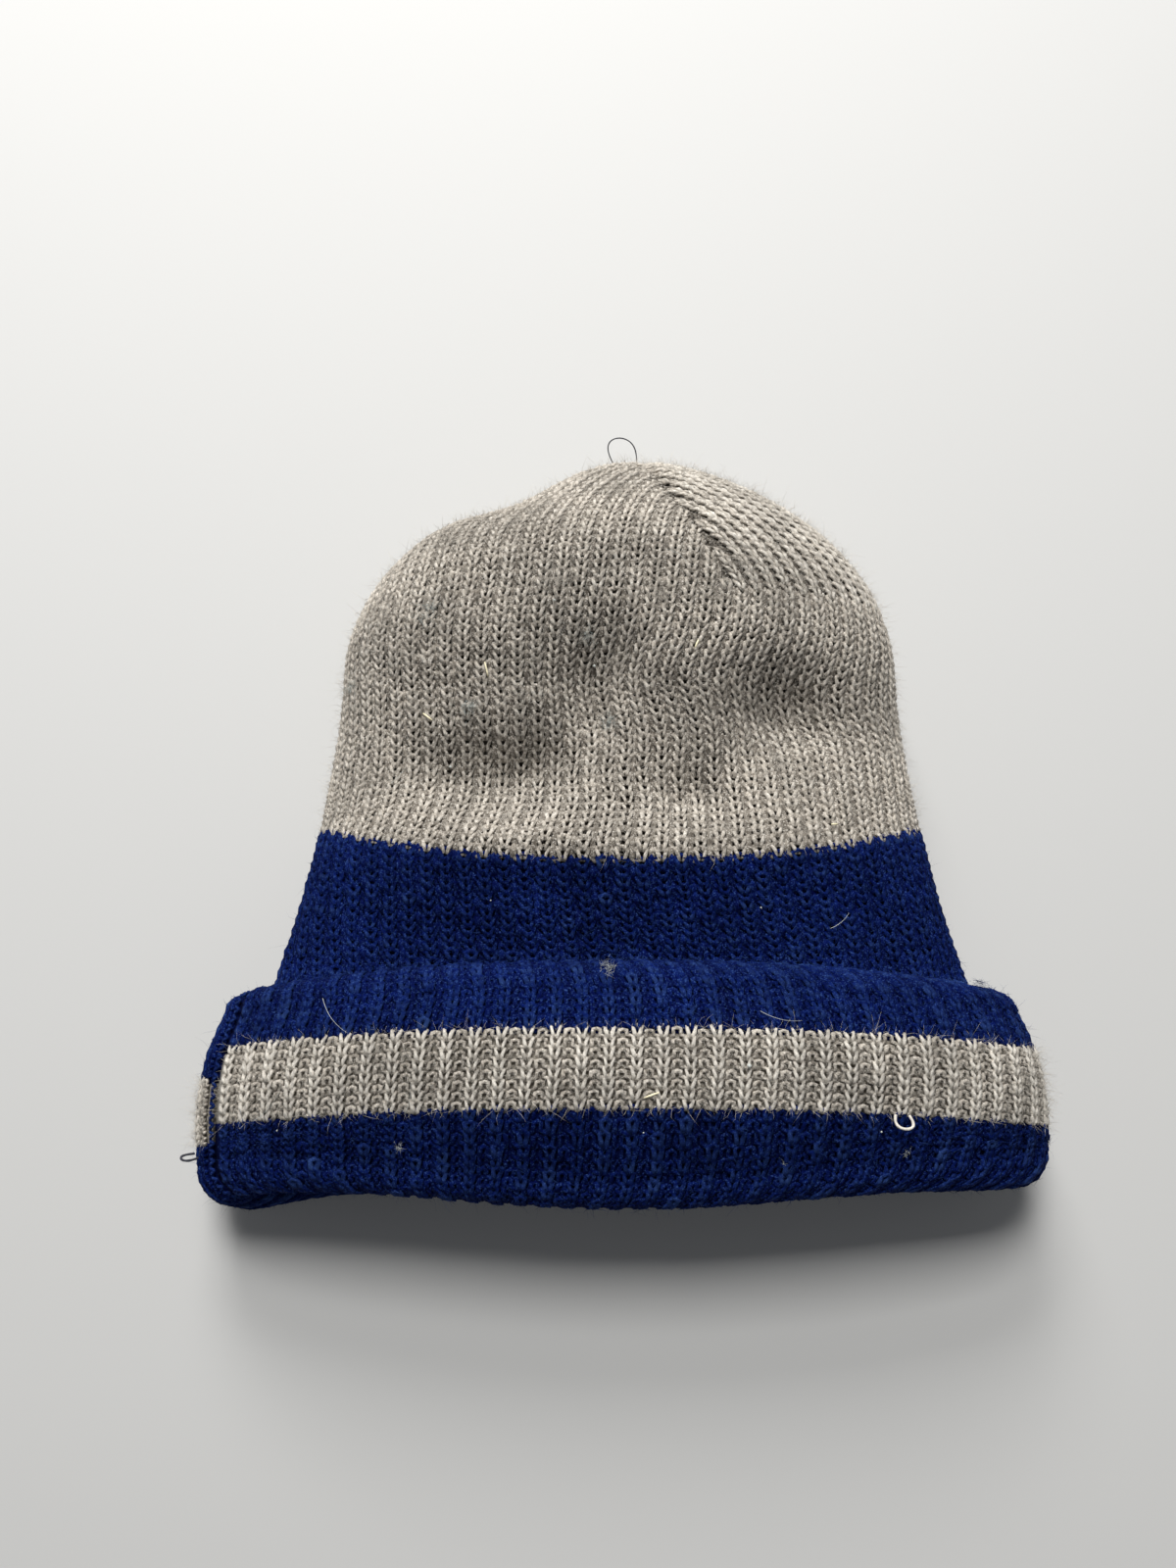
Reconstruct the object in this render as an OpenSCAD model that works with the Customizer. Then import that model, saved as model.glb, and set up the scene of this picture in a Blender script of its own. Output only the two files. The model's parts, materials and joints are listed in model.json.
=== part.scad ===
// Knit beanie, double-layer tube construction, lying on its back with the cuff turned up.
// One long ribbed tube is closed at both ends by three darts each, one end is pushed into
// the other, and the mouth is turned up once. The cloth is followed as one path:
//   shell, small inner fold, hidden ply, top fold, cuff face, large bottom fold, lining.
// Millimetres. X is the hat's width, Y runs from the mouth (-) to the crown (+), Z is up
// from the table. The origin is the middle of the hat's footprint, on the table.

/* [Crown] */

// Y of the tip of the crown
crown_tip_y = 118; // [100:1:140]
// Y where the crown starts to close
shoulder_y = 45; // [20:1:70]
// Y where the three crown darts end
dart_end_y = 62; // [50:1:90]
// Height of the crown tip above the table
crown_tip_z = 33; // [20:1:45]
// Sideways lean of the crown tip
crown_tip_x = 4; // [-10:0.5:10]
// Roundness of the crown seen from above, smaller is blunter
crown_blunt = 0.64; // [0.4:0.02:1]
// Height of the puffed dome just before the crown closes
dome_height = 64; // [50:1:80]
// Angle of the front dart, counted round the hat from its right side
dart_angle = 72; // [40:0.2:110]
// Degrees the gores twist round the tip as they narrow
crown_twist = 9; // [0:0.5:20]
// Half angle taken by a seam
seam_half_angle = 0.8; // [0.4:0.1:2]

/* [Body] */

// Half width of the hat at the shoulder
half_shoulder = 88; // [70:1:110]
// Half width where taupe meets navy
half_border = 94.5; // [75:1:120]
// Half width at the crease above the cuff
half_crease = 104.5; // [80:1:130]
// Half width of the inner tube at the mouth
half_mouth = 111; // [85:1:140]
// Height of the top of the body at mid length
body_height = 53; // [40:1:70]
// Height of the top of the body at the crease
crease_height = 47; // [35:1:60]
// Y of the crease where the body enters the cuff
crease_y = -47; // [-60:1:-30]
// Y of the taupe and navy border in the middle of the front
border_y = -19; // [-35:1:0]
// How much further toward the crown the border stands at the sides
border_rise = 13; // [0:1:20]
// How far the mouth end is lifted by the plies of the cuff under it
mouth_lift = 10; // [5:0.5:14]

/* [Cuff] */

// Half width of the cuff at its widest
half_cuff = 125.4; // [100:0.2:150]
// Half width of the cuff at its top fold
half_cuff_top = 112; // [95:1:140]
// Height of the cuff at its highest
cuff_height = 64.5; // [45:0.5:80]
// Height of the cuff at the bottom fold
cuff_mouth_height = 50; // [35:1:70]
// Y where the top fold starts
top_fold_y = -54; // [-65:1:-45]
// Y where the bottom fold starts
bottom_fold_y = -106; // [-120:1:-95]
// Y of the stripe's edge nearer the crown
stripe_top_y = -66; // [-75:1:-58]
// Y of the stripe's edge nearer the mouth
stripe_bottom_y = -88; // [-100:1:-78]
// How far the cuff's sides sag toward the mouth
cuff_sag = 6; // [0:0.5:12]
// How far the cuff's bottom fold is drawn up at the sides
fold_rise = 7; // [0:0.5:12]

/* [Cloth] */

// Thickness of one ply of ribbed cloth
ply = 2.6; // [1.5:0.1:4]
// Clearance kept between plies
gap = 0.3; // [0.1:0.05:1]
// Diameter of the yarn in loops and tails
yarn_d = 1.1; // [0.6:0.1:2]
// Facets across one crown gore
gore_cols = 18; // [10:2:24]

/* [Hidden] */

// Middle of the footprint as drawn, moved to the origin for every piece.
middle = [-1.71, 4.86, 0];

taupe = [0.60, 0.55, 0.50];
navy = [0.08, 0.12, 0.38];
eps = 0.001;
tip_stop = 0.985;            // how far up the crown the gores run before the gather
gore_angle = 120;
full_cols = 3 * gore_cols;
seam_angle = dart_angle + gore_angle;    // the side seam runs down from the left dart

// A smooth curve through a short list of [station, value] pairs.
function span(x, p, i = 0) = i >= len(p) - 2 || x <= p[i + 1][0] ? i : span(x, p, i + 1);
function slope(p, i) =
    i == 0 ? (p[1][1] - p[0][1]) / (p[1][0] - p[0][0])
    : i == len(p) - 1 ? (p[i][1] - p[i - 1][1]) / (p[i][0] - p[i - 1][0])
    : (p[i + 1][1] - p[i - 1][1]) / (p[i + 1][0] - p[i - 1][0]);
function curve(x, p) =
    let (v = min(max(x, p[0][0]), p[len(p) - 1][0]), i = span(v, p),
         h = p[i + 1][0] - p[i][0], t = (v - p[i][0]) / h)
    (2 * t * t * t - 3 * t * t + 1) * p[i][1] + (t * t * t - 2 * t * t + t) * h * slope(p, i)
    + (3 * t * t - 2 * t * t * t) * p[i + 1][1] + (t * t * t - t * t) * h * slope(p, i + 1);
function smooth(a, b, x) =
    let (t = min(max((x - a) / (b - a), 0), 1)) t * t * (3 - 2 * t);
function spow(v, e) = sign(v) * pow(abs(v), e);
function mix(a, b, t) = a + (b - a) * t;

body_half = [[-118, half_mouth + 1], [-80, half_mouth - 2.5], [crease_y, half_crease],
             [border_y + 4, half_border + 1.5], [18, half_shoulder + 3],
             [shoulder_y, half_shoulder], [crown_tip_y + 2, half_shoulder]];
body_top = [[-118, crease_height - 10], [-100, crease_height - 5], [-80, crease_height],
            [-62, crease_height + 1], [crease_y, crease_height - 2], [-26, body_height - 2],
            [-12, body_height + 1], [2, body_height - 2], [24, body_height - 2],
            [50, dome_height - 4], [76, dome_height + 1], [crown_tip_y + 2, dome_height + 1]];
body_low = [[-118, mouth_lift], [-54, mouth_lift], [-42, mouth_lift * 0.5], [-30, 0],
            [crown_tip_y + 2, 0]];
cuff_half = [[-122, half_cuff - 1.4], [-104, half_cuff], [-88, half_cuff],
             [-72, half_cuff - 2.6], [-58, half_cuff_top + 5.5], [-46, half_cuff_top + 2]];
cuff_top = [[-122, cuff_mouth_height - 8], [bottom_fold_y, cuff_mouth_height],
            [-88, cuff_height - 4.5], [-72, cuff_height], [-58, cuff_height - 0.5],
            [-46, cuff_height - 4.5]];

// How much of the body's section is left at station y, 1 below the shoulder, 0 at the tip.
function closing(y) = min(max((y - shoulder_y) / (crown_tip_y - shoulder_y), 0), 1);
function taper(y, e) = let (u = closing(y)) pow(max(1 - u * u, 0), e);

// Soft hollows and swells pressed into the top of the body: [x, y, depth, wide, long].
hollows = [[-34, 11, -12.5, 27, 11.5], [-8, 38, -11, 13, 18], [50, 30, -10.5, 16, 12.5],
           [24, 3, -8, 16, 10.5], [38, 16, -3.5, 11, 8], [-15, -12, 2.5, 70, 11],
           [-4, 84, 2, 50, 14]];
function bell(t) = exp(-t * t);
function hollow(x, y, i = 0) =
    i == len(hollows) ? 0
    : hollows[i][2] * bell((x - hollows[i][0]) / hollows[i][3])
      * bell((y - hollows[i][1]) / hollows[i][4]) + hollow(x, y, i + 1);

// A flattened round section: rounder on top, flat where it lies on the table.
function section(th, a, zt, zb, zc, nt, nb) =
    let (s = sin(th), n = s >= 0 ? nt : nb, reach = s >= 0 ? zt - zc : zc - zb + 1.5)
    [a * spow(cos(th), 2 / n), max(zc + reach * spow(s, 2 / n), zb)];

// How far the crown's left shoulder slumps toward the mouth.
function slump(x, y) = 7 * bell((x + 38) / 20) * smooth(75, 112, y);

// The body tube at angle th and station y, moved out by off.
function body(th, y, off) =
    let (k = taper(y, crown_blunt), kt = taper(y, 0.5), kb = taper(y, 0.4), u = closing(y),
         a = curve(y, body_half), zt = curve(y, body_top), zb = max(curve(y, body_low), 0),
         zm = zb + (zt - zb) * 0.46, zc = zm * k + crown_tip_z * (1 - k),
         p = section(th, (a + off) * k, zc + (zt + off - zm) * kt, zc - (zm - zb + off) * kb,
                     zc, 2.5, 3),
         x0 = a * k * spow(cos(th), 0.8),
         dent = hollow(x0, y) * sqrt(max(sin(th), 0)) * min(1, 1.5 * k))
    [p[0] + crown_tip_x * u * u, y + off * u - slump(x0, y), p[1] + dent];

// The cuff face at angle th and station y, moved out by off.
function cuff(th, y, off) =
    let (zt = curve(y, cuff_top) + off, zb = -off,
         p = section(th, curve(y, cuff_half) + off, zt, zb, zb + (zt - zb) * 0.44, 2.4, 3.2))
    [p[0], y, p[1]];

// How far each line of the cloth stands from its station, round the hat.
function front(th) = pow(max(sin(th), 0), 2);
function angle_from(th, c) = let (d = (th - c) % 360) d > 180 ? d - 360 : d < -180 ? d + 360 : d;
function fold_shift(th) = fold_rise * (1 - bell(cos(th) / 0.45))
                          - fold_rise * bell(angle_from(th, 195) / 35);
function sag_shift(th) = -cuff_sag * (1 - front(th));
function low(y) = 1 - smooth(bottom_fold_y, stripe_bottom_y + 2, y);
function shell_shift(th, y) = fold_shift(th) * low(y)
                              + border_rise * (1 - front(th)) * bell((y - border_y) / 22);
function cuff_shift(th, y) = mix(sag_shift(th), fold_shift(th), low(y));

// Offsets of the two faces of each ply. f = 0 is the face that shows, f = 1 its back.
function shell_pt(th, y, f) = body(th, y + shell_shift(th, y), -ply * f);
function hidden_pt(th, y, f) = body(th, y + cuff_shift(th, y), gap + ply * f);
function cuff_pt(th, y, f) = cuff(th, y + cuff_shift(th, y), -ply * f);
function lining_pt(th, y, f) = body(th, y + fold_shift(th) * low(y), -2 * ply - gap + ply * f);

// A half turn of cloth from point a to point b, bulging toward dir along Y.
function fold_pt(a, b, phi, dir) =
    let (m = (a + b) / 2, h = (a - b) / 2, r = norm([h[0], h[2]]))
    m + cos(phi) * h + [0, dir * r * sin(phi), 0];

// Y where the small inner fold starts, a little inside the large one.
inner_fold_y = bottom_fold_y + 4;

// The whole cloth path. q counts the stretches: 0 shell, 1 inner fold, 2 hidden ply,
// 3 top fold, 4 cuff face, 5 bottom fold, 6 lining; the fraction runs along each one.
function crown_y(u) = shoulder_y + u * (crown_tip_y - shoulder_y);
function cloth(q, th, f) =
    let (leg = floor(min(q, 6.9999)), t = q - leg)
    leg == 0 ? shell_pt(th, mix(crown_tip_y, inner_fold_y, t), f)
    : leg == 1 ? fold_pt(shell_pt(th, inner_fold_y, f), hidden_pt(th, inner_fold_y, f),
                         180 * t, -1)
    : leg == 2 ? hidden_pt(th, mix(inner_fold_y, top_fold_y, t), f)
    : leg == 3 ? fold_pt(hidden_pt(th, top_fold_y, f), cuff_pt(th, top_fold_y, f), 180 * t, 1)
    : leg == 4 ? cuff_pt(th, mix(top_fold_y, bottom_fold_y, t), f)
    : leg == 5 ? fold_pt(cuff_pt(th, bottom_fold_y, f), lining_pt(th, bottom_fold_y, f),
                         180 * t, -1)
    : lining_pt(th, mix(bottom_fold_y, crown_tip_y, t), f);

function q_shell(y) = (crown_tip_y - y) / (crown_tip_y - inner_fold_y);
function q_cuff(y) = 4 + (top_fold_y - y) / (top_fold_y - bottom_fold_y);
function q_lining(y) = 6 + (y - bottom_fold_y) / (crown_tip_y - bottom_fold_y);

// The side seam drifts a little round the hat as the cloth is turned.
seam_drift = [[0, 0], [1, 0], [2, -8], [3, -22], [4, -32], [5, -33], [6, -24], [6.5, 0],
              [7, 0]];
function seam_at(q) = seam_angle + curve(q, seam_drift);

// How far the gores twist round the tip as they narrow, at q.
function twist(q) =
    let (y = q <= 1 ? crown_tip_y - q * (crown_tip_y - inner_fold_y)
                    : bottom_fold_y + (q - 6) * (crown_tip_y - bottom_fold_y))
    crown_twist * smooth(0.25, 0.95, closing(y));

// Rows from a to b, n steps.
function steps(a, b, n) = [for (i = [0:n]) mix(a, b, i / n)];
function joined(a, b) = concat(a, [for (i = [1:len(b) - 1]) b[i]]);
// Stations up the crown, closer together near the tip.
function crown_rows(n) =
    [for (i = [0:n]) let (u0 = closing(dart_end_y), w = asin(u0),
        u = i == n ? tip_stop : sin(mix(w, asin(tip_stop), i / n))) crown_y(u)];

// A closed solid of cloth: rows qs along the path, columns from angle fa(q) to fb(q),
// between the two depths d0 and d1 of the ply.
module sheet_solid(pts, nr, nc) {
    n = nr * nc;
    at = function (i, j, f) f * n + i * nc + j;
    faces = concat(
        [for (i = [0:nr - 2], j = [0:nc - 2]) each [
            [at(i, j, 0), at(i + 1, j, 0), at(i + 1, j + 1, 0)],
            [at(i, j, 0), at(i + 1, j + 1, 0), at(i, j + 1, 0)],
            [at(i, j, 1), at(i + 1, j + 1, 1), at(i + 1, j, 1)],
            [at(i, j, 1), at(i, j + 1, 1), at(i + 1, j + 1, 1)]]],
        [for (j = [0:nc - 2]) each [
            [at(0, j, 0), at(0, j + 1, 0), at(0, j + 1, 1)],
            [at(0, j, 0), at(0, j + 1, 1), at(0, j, 1)],
            [at(nr - 1, j + 1, 0), at(nr - 1, j, 0), at(nr - 1, j, 1)],
            [at(nr - 1, j + 1, 0), at(nr - 1, j, 1), at(nr - 1, j + 1, 1)]]],
        [for (i = [0:nr - 2]) each [
            [at(i + 1, 0, 0), at(i, 0, 0), at(i, 0, 1)],
            [at(i + 1, 0, 0), at(i, 0, 1), at(i + 1, 0, 1)],
            [at(i, nc - 1, 0), at(i + 1, nc - 1, 0), at(i + 1, nc - 1, 1)],
            [at(i, nc - 1, 0), at(i + 1, nc - 1, 1), at(i, nc - 1, 1)]]]);
    polyhedron(points = pts, faces = faces, convexity = 8);
}

// Cloth all the way round, open only at the side seam. Rows are q values.
module tube_cloth(qs) {
    nc = full_cols + 1;
    pts = [for (f = [0, 1], q = qs, j = [0:nc - 1])
        let (s = seam_at(q), w = seam_half_angle)
        cloth(q, s + w + (360 - 2 * w) * j / (nc - 1), f)];
    sheet_solid(pts, len(qs), nc);
}

// A narrow strip of sewing that fills a seam, sunk below both faces of the cloth.
module seam_strip(qs, middle, half, d0 = 0.18, d1 = 0.82) {
    pts = [for (f = [d0, d1], q = qs, s = [-1, 1]) cloth(q, middle(q) + s * half, f)];
    sheet_solid(pts, len(qs), 2);
}

// One gore of the crown between two darts.
module gore(qs, start) {
    nc = gore_cols + 1;
    pts = [for (f = [0, 1], q = qs, j = [0:nc - 1])
        cloth(q, start + twist(q) + seam_half_angle
              + (gore_angle - 2 * seam_half_angle) * j / (nc - 1), f)];
    sheet_solid(pts, len(qs), nc);
}

// A round yarn along a list of points.
module yarn(path, d, sides = 6) {
    n = len(path);
    tan_at = function (i) let (v = path[min(i + 1, n - 1)] - path[max(i - 1, 0)]) v / norm(v);
    ring = function (i) let (t = tan_at(i), r0 = abs(t[2]) < 0.9 ? [0, 0, 1] : [1, 0, 0],
        a0 = cross(t, r0), a = a0 / norm(a0), b = cross(t, a))
        [for (k = [0:sides - 1]) path[i] + d / 2 * (cos(360 * k / sides) * a
                                                    + sin(360 * k / sides) * b)];
    pts = concat([for (i = [0:n - 1]) each ring(i)], [path[0], path[n - 1]]);
    faces = concat(
        [for (i = [0:n - 2], k = [0:sides - 1]) let (k2 = (k + 1) % sides) each [
            [i * sides + k, (i + 1) * sides + k, (i + 1) * sides + k2],
            [i * sides + k, (i + 1) * sides + k2, i * sides + k2]]],
        [for (k = [0:sides - 1]) let (k2 = (k + 1) % sides) each [
            [n * sides, k, k2],
            [n * sides + 1, (n - 1) * sides + k2, (n - 1) * sides + k]]]);
    polyhedron(points = pts, faces = faces, convexity = 6);
}

crown_qs = [for (y = crown_rows(9)) q_shell(y)];
lining_crown_qs = [for (y = crown_rows(8)) q_lining(y)];
// Gore rows run from the tip down on the shell, and up to the tip on the lining.
shell_gore_qs = [for (i = [0:len(crown_qs) - 1]) crown_qs[len(crown_qs) - 1 - i]];

module crown_gore_front() color(taupe) gore(shell_gore_qs, dart_angle);
module crown_gore_left() color(taupe) gore(shell_gore_qs, dart_angle + gore_angle);
module crown_gore_right() color(taupe) gore(shell_gore_qs, dart_angle + 2 * gore_angle);
module crown_wall() color(taupe)
    tube_cloth(steps(q_shell(dart_end_y - 0.4), q_shell(border_y + 0.1), 7));

module body_band() color(navy)
    tube_cloth(joined(joined(steps(q_shell(border_y - 0.1), q_shell(crease_y), 3),
                             steps(q_shell(crease_y), 1, 4)), steps(1, 2 - eps, 4)));

module cuff_hidden_ply() color(navy) tube_cloth(steps(2 + 2 * eps, 3 - 2 * eps, 5));

module cuff_upper_band() color(navy)
    tube_cloth(joined(steps(3, 4, 6), steps(4, q_cuff(stripe_top_y + 0.1), 2)));

module cuff_stripe() color(taupe)
    tube_cloth(steps(q_cuff(stripe_top_y - 0.1), q_cuff(stripe_bottom_y + 0.1), 3));

module cuff_lower_band() color(navy)
    tube_cloth(joined(steps(q_cuff(stripe_bottom_y - 0.1), 5, 3), steps(5, 6 - eps, 7)));

module lining_band() color(navy) tube_cloth(steps(6 + eps, q_lining(-60) - eps, 4));
module lining_wall() color(taupe)
    tube_cloth(steps(q_lining(-60) + eps, q_lining(dart_end_y - 0.4), 10));
module lining_gore_front() color(taupe) gore(lining_crown_qs, dart_angle);
module lining_gore_left() color(taupe) gore(lining_crown_qs, dart_angle + gore_angle);
module lining_gore_right() color(taupe) gore(lining_crown_qs, dart_angle + 2 * gore_angle);

strip_half = seam_half_angle * 0.75;
module dart_strip(qs, th) color(taupe)
    seam_strip(qs, function (q) th + twist(q), strip_half);
module dart_seam_front() dart_strip(shell_gore_qs, dart_angle);
module dart_seam_left() dart_strip(shell_gore_qs, dart_angle + gore_angle);
module dart_seam_right() dart_strip(shell_gore_qs, dart_angle + 2 * gore_angle);
module lining_dart_seam_front() dart_strip(lining_crown_qs, dart_angle);
module lining_dart_seam_left() dart_strip(lining_crown_qs, dart_angle + gore_angle);
module lining_dart_seam_right() dart_strip(lining_crown_qs, dart_angle + 2 * gore_angle);

module side_strip(qs, c) color(c) seam_strip(qs, function (q) seam_at(q), strip_half);
module shell_side_seam() side_strip(steps(q_shell(dart_end_y - 0.4), 2 - eps, 22), navy);
module hidden_side_seam() side_strip(steps(2 + 2 * eps, 3 - 2 * eps, 5), navy);
module cuff_side_seam() side_strip(joined(steps(3, 5, 14), steps(5, 6 - eps, 7)), navy);
module lining_side_seam() side_strip(steps(6 + eps, q_lining(dart_end_y - 0.4), 14), taupe);

// The drawn-up stitches that close the tip, a small domed button of cloth.
module tip_button(off, thick) {
    n = 24;
    rim = [for (j = [0:n - 1]) body(360 * j / n, crown_y(tip_stop), off)];
    mid = [for (j = [0:n - 1]) body(360 * j / n, crown_y(0.996), off)];
    c = [for (a = [0:2]) let (s = [for (p = rim) p[a]]) s * [for (p = rim) 1] / n];
    shrink = function (p, k, dy) [c[0] + (p[0] - c[0]) * k, p[1] + dy, c[2] + (p[2] - c[2]) * k];
    rings = [[for (p = rim) shrink(p, 0.80, -thick)], [for (p = rim) shrink(p, 0.93, -0.4)],
             [for (p = rim) shrink(p, 0.93, 0.3)], [for (p = mid) shrink(p, 0.85, 0.5)]];
    low_c = c - [0, thick, 0];
    top_c = [c[0], body(0, crown_tip_y, off)[1] + 0.5, c[2]];
    pts = concat([for (r = rings) each r], [low_c, top_c]);
    m = len(rings);
    faces = concat(
        [for (i = [0:m - 2], j = [0:n - 1]) let (k = (j + 1) % n) each [
            [i * n + j, i * n + k, (i + 1) * n + k],
            [i * n + j, (i + 1) * n + k, (i + 1) * n + j]]],
        [for (j = [0:n - 1]) let (k = (j + 1) % n) each [
            [m * n, k, j], [m * n + 1, (m - 1) * n + j, (m - 1) * n + k]]]);
    polyhedron(points = pts, faces = faces, convexity = 4);
}
module crown_gather() color(taupe) tip_button(0, 1.6);
module lining_gather() color(taupe) tip_button(-2 * ply - gap, 1.2);

// A loop of yarn standing on the cloth: two feet and an arch between them.
function arch(a, b, rise, n = 14) =
    [for (i = [0:n]) let (t = i / n)
        mix(a, b, t) + rise * sin(180 * t) + (b - a) * 0.35 * sin(360 * t) * -1];
function standing(q, th, h) =
    let (a = cloth(q, th, 0), b = cloth(q, th, 1), d = (a - b) / norm(a - b)) a + d * h;
foot = yarn_d / 2 + 0.15;

module crown_yarn_tail() color(navy * 0.6) {
    c = body(90, crown_tip_y, 0);
    a = c + [-6, 2.2, 3];
    b = c + [2, 2.4, 2];
    yarn(arch(a, b, [-2, 5.5, 5], 18), 0.7);
}
module stripe_snag_loop() color(taupe) {
    a = standing(q_cuff(stripe_bottom_y + 2), 58.2, foot);
    b = standing(q_cuff(stripe_bottom_y + 2), 55.9, foot);
    yarn(arch(a, b, [0.4, -3.2, 1.6], 14), yarn_d * 0.9);
}
module corner_snag_loop() color(navy) {
    a = standing(q_cuff(-101), 172, foot);
    b = standing(q_cuff(-104), 166, foot);
    yarn(arch(a, b, [-3.8, -0.8, 1.6], 14), yarn_d);
}

translate(-middle) {
    crown_gore_front();
    crown_gore_left();
    crown_gore_right();
    crown_wall();
    body_band();
    cuff_hidden_ply();
    cuff_upper_band();
    cuff_stripe();
    cuff_lower_band();
    lining_band();
    lining_wall();
    lining_gore_front();
    lining_gore_left();
    lining_gore_right();
    dart_seam_front();
    dart_seam_left();
    dart_seam_right();
    lining_dart_seam_front();
    lining_dart_seam_left();
    lining_dart_seam_right();
    shell_side_seam();
    hidden_side_seam();
    cuff_side_seam();
    lining_side_seam();
    crown_gather();
    lining_gather();
    crown_yarn_tail();
    stripe_snag_loop();
    corner_snag_loop();
}
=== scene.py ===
"""A double-layer ribbed knit beanie lying on its back, made stitch by stitch.

The hat is one long ribbed tube, closed at both ends, with one end pushed into the other and
the mouth turned up once. HatForm follows that cloth as a single path and gives its surface;
Patch lays wales and courses on a stretch of it; Knitter runs the yarn through the stitches;
Brusher raises the loose fibres. Lengths inside the classes are millimetres, and meshes are
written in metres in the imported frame.
"""
import json
import logging
import math
from dataclasses import dataclass, field
from enum import Enum
from typing import Callable, Sequence

import bpy
import numpy as np
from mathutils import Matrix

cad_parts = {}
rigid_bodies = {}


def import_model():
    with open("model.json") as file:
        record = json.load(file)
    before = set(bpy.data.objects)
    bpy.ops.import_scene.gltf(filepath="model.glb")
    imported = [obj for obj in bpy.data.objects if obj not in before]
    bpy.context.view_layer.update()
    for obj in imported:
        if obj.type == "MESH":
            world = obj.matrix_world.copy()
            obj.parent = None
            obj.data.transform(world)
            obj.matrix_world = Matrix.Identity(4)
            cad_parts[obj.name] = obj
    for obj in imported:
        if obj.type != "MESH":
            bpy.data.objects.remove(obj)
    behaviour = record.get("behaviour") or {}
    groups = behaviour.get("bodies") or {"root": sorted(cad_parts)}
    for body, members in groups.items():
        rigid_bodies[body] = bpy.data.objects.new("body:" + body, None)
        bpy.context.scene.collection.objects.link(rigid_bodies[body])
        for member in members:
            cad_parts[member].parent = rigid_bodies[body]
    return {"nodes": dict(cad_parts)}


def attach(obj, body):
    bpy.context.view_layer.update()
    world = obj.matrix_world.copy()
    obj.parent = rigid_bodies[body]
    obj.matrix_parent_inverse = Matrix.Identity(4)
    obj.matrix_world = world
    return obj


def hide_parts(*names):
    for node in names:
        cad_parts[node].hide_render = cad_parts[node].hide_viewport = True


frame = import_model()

LOG = logging.getLogger("beanie")
Array = np.ndarray
MM = 0.001
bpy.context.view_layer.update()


# ------------------------------------------------------------------ camera, floor, light

@dataclass(frozen=True)
class Studio:
    """The camera above the hat, a plain pale floor and soft light from the crown's side."""

    eye: tuple[float, float, float] = (-0.0083, -0.0769, 0.390)
    tilt_deg: float = 13.0
    lens_mm: float = 27.05
    floor_colour: tuple[float, float, float] = (0.56, 0.56, 0.55)

    def camera(self) -> bpy.types.Object:
        """Makes the camera, looking almost straight down, and sets it as the scene's.

        Returns:
            The camera object.
        """
        data = bpy.data.cameras.new("camera")
        data.sensor_fit = "AUTO"
        data.sensor_width = 36.0
        data.lens = self.lens_mm
        data.clip_start = 0.01
        cam = bpy.data.objects.new("camera", data)
        cam.location = self.eye
        cam.rotation_euler = (math.radians(self.tilt_deg), 0.0, 0.0)
        bpy.context.scene.collection.objects.link(cam)
        bpy.context.scene.camera = cam
        return cam

    def floor(self) -> bpy.types.Object:
        """Makes the plain floor the hat lies on.

        Returns:
            The floor object.
        """
        g = np.array([[-3, -3, 0], [3, -3, 0], [3, 3, 0], [-3, 3, 0]], float)
        me = bpy.data.meshes.new("floor")
        me.from_pydata(g.tolist(), [], [(0, 1, 2, 3)])
        ob = bpy.data.objects.new("floor", me)
        bpy.context.scene.collection.objects.link(ob)
        mat = bpy.data.materials.new("floor")
        mat.use_nodes = True
        bsdf = mat.node_tree.nodes["Principled BSDF"]
        bsdf.inputs["Base Color"].default_value = (*self.floor_colour, 1.0)
        bsdf.inputs["Roughness"].default_value = 0.9
        me.materials.append(mat)
        return ob

    def _area(self, name: str, at: Sequence[float], size: float, watts: float,
              colour: Sequence[float]) -> None:
        """Adds a square area lamp at a place, facing the hat.

        Args:
            name: The lamp's name.
            at: Its place in metres.
            size: Its side in metres.
            watts: Its power.
            colour: Its colour.
        """
        data = bpy.data.lights.new(name, "AREA")
        data.energy, data.size, data.color = watts, size, colour
        ob = bpy.data.objects.new(name, data)
        ob.location = at
        aim = np.array([0.0, 0.0, 0.03]) - np.array(at)
        pitch = math.acos(-aim[2] / np.linalg.norm(aim))
        yaw = math.atan2(aim[1], aim[0]) - math.pi / 2
        ob.rotation_euler = (pitch, 0.0, yaw)
        bpy.context.scene.collection.objects.link(ob)

    def light(self) -> None:
        """Adds soft window light from the crown's side, high and low, a weak fill and a sky."""
        self._area("window", (-0.12, 0.72, 1.32), 0.5, 18.5, (1.0, 0.99, 0.975))
        self._area("low_window", (-0.20, 1.20, 0.86), 0.5, 16.5, (1.0, 0.99, 0.975))
        self._area("fill", (0.5, -0.9, 1.2), 1.6, 0.6, (0.95, 0.97, 1.0))
        world = bpy.data.worlds.new("sky")
        world.use_nodes = True
        world.node_tree.nodes["Background"].inputs[0].default_value = (0.92, 0.95, 1.0, 1.0)
        world.node_tree.nodes["Background"].inputs[1].default_value = 0.14
        bpy.context.scene.world = world
        bpy.context.scene.view_settings.view_transform = "Standard"


# ------------------------------------------------------------------ the hat's form

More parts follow.
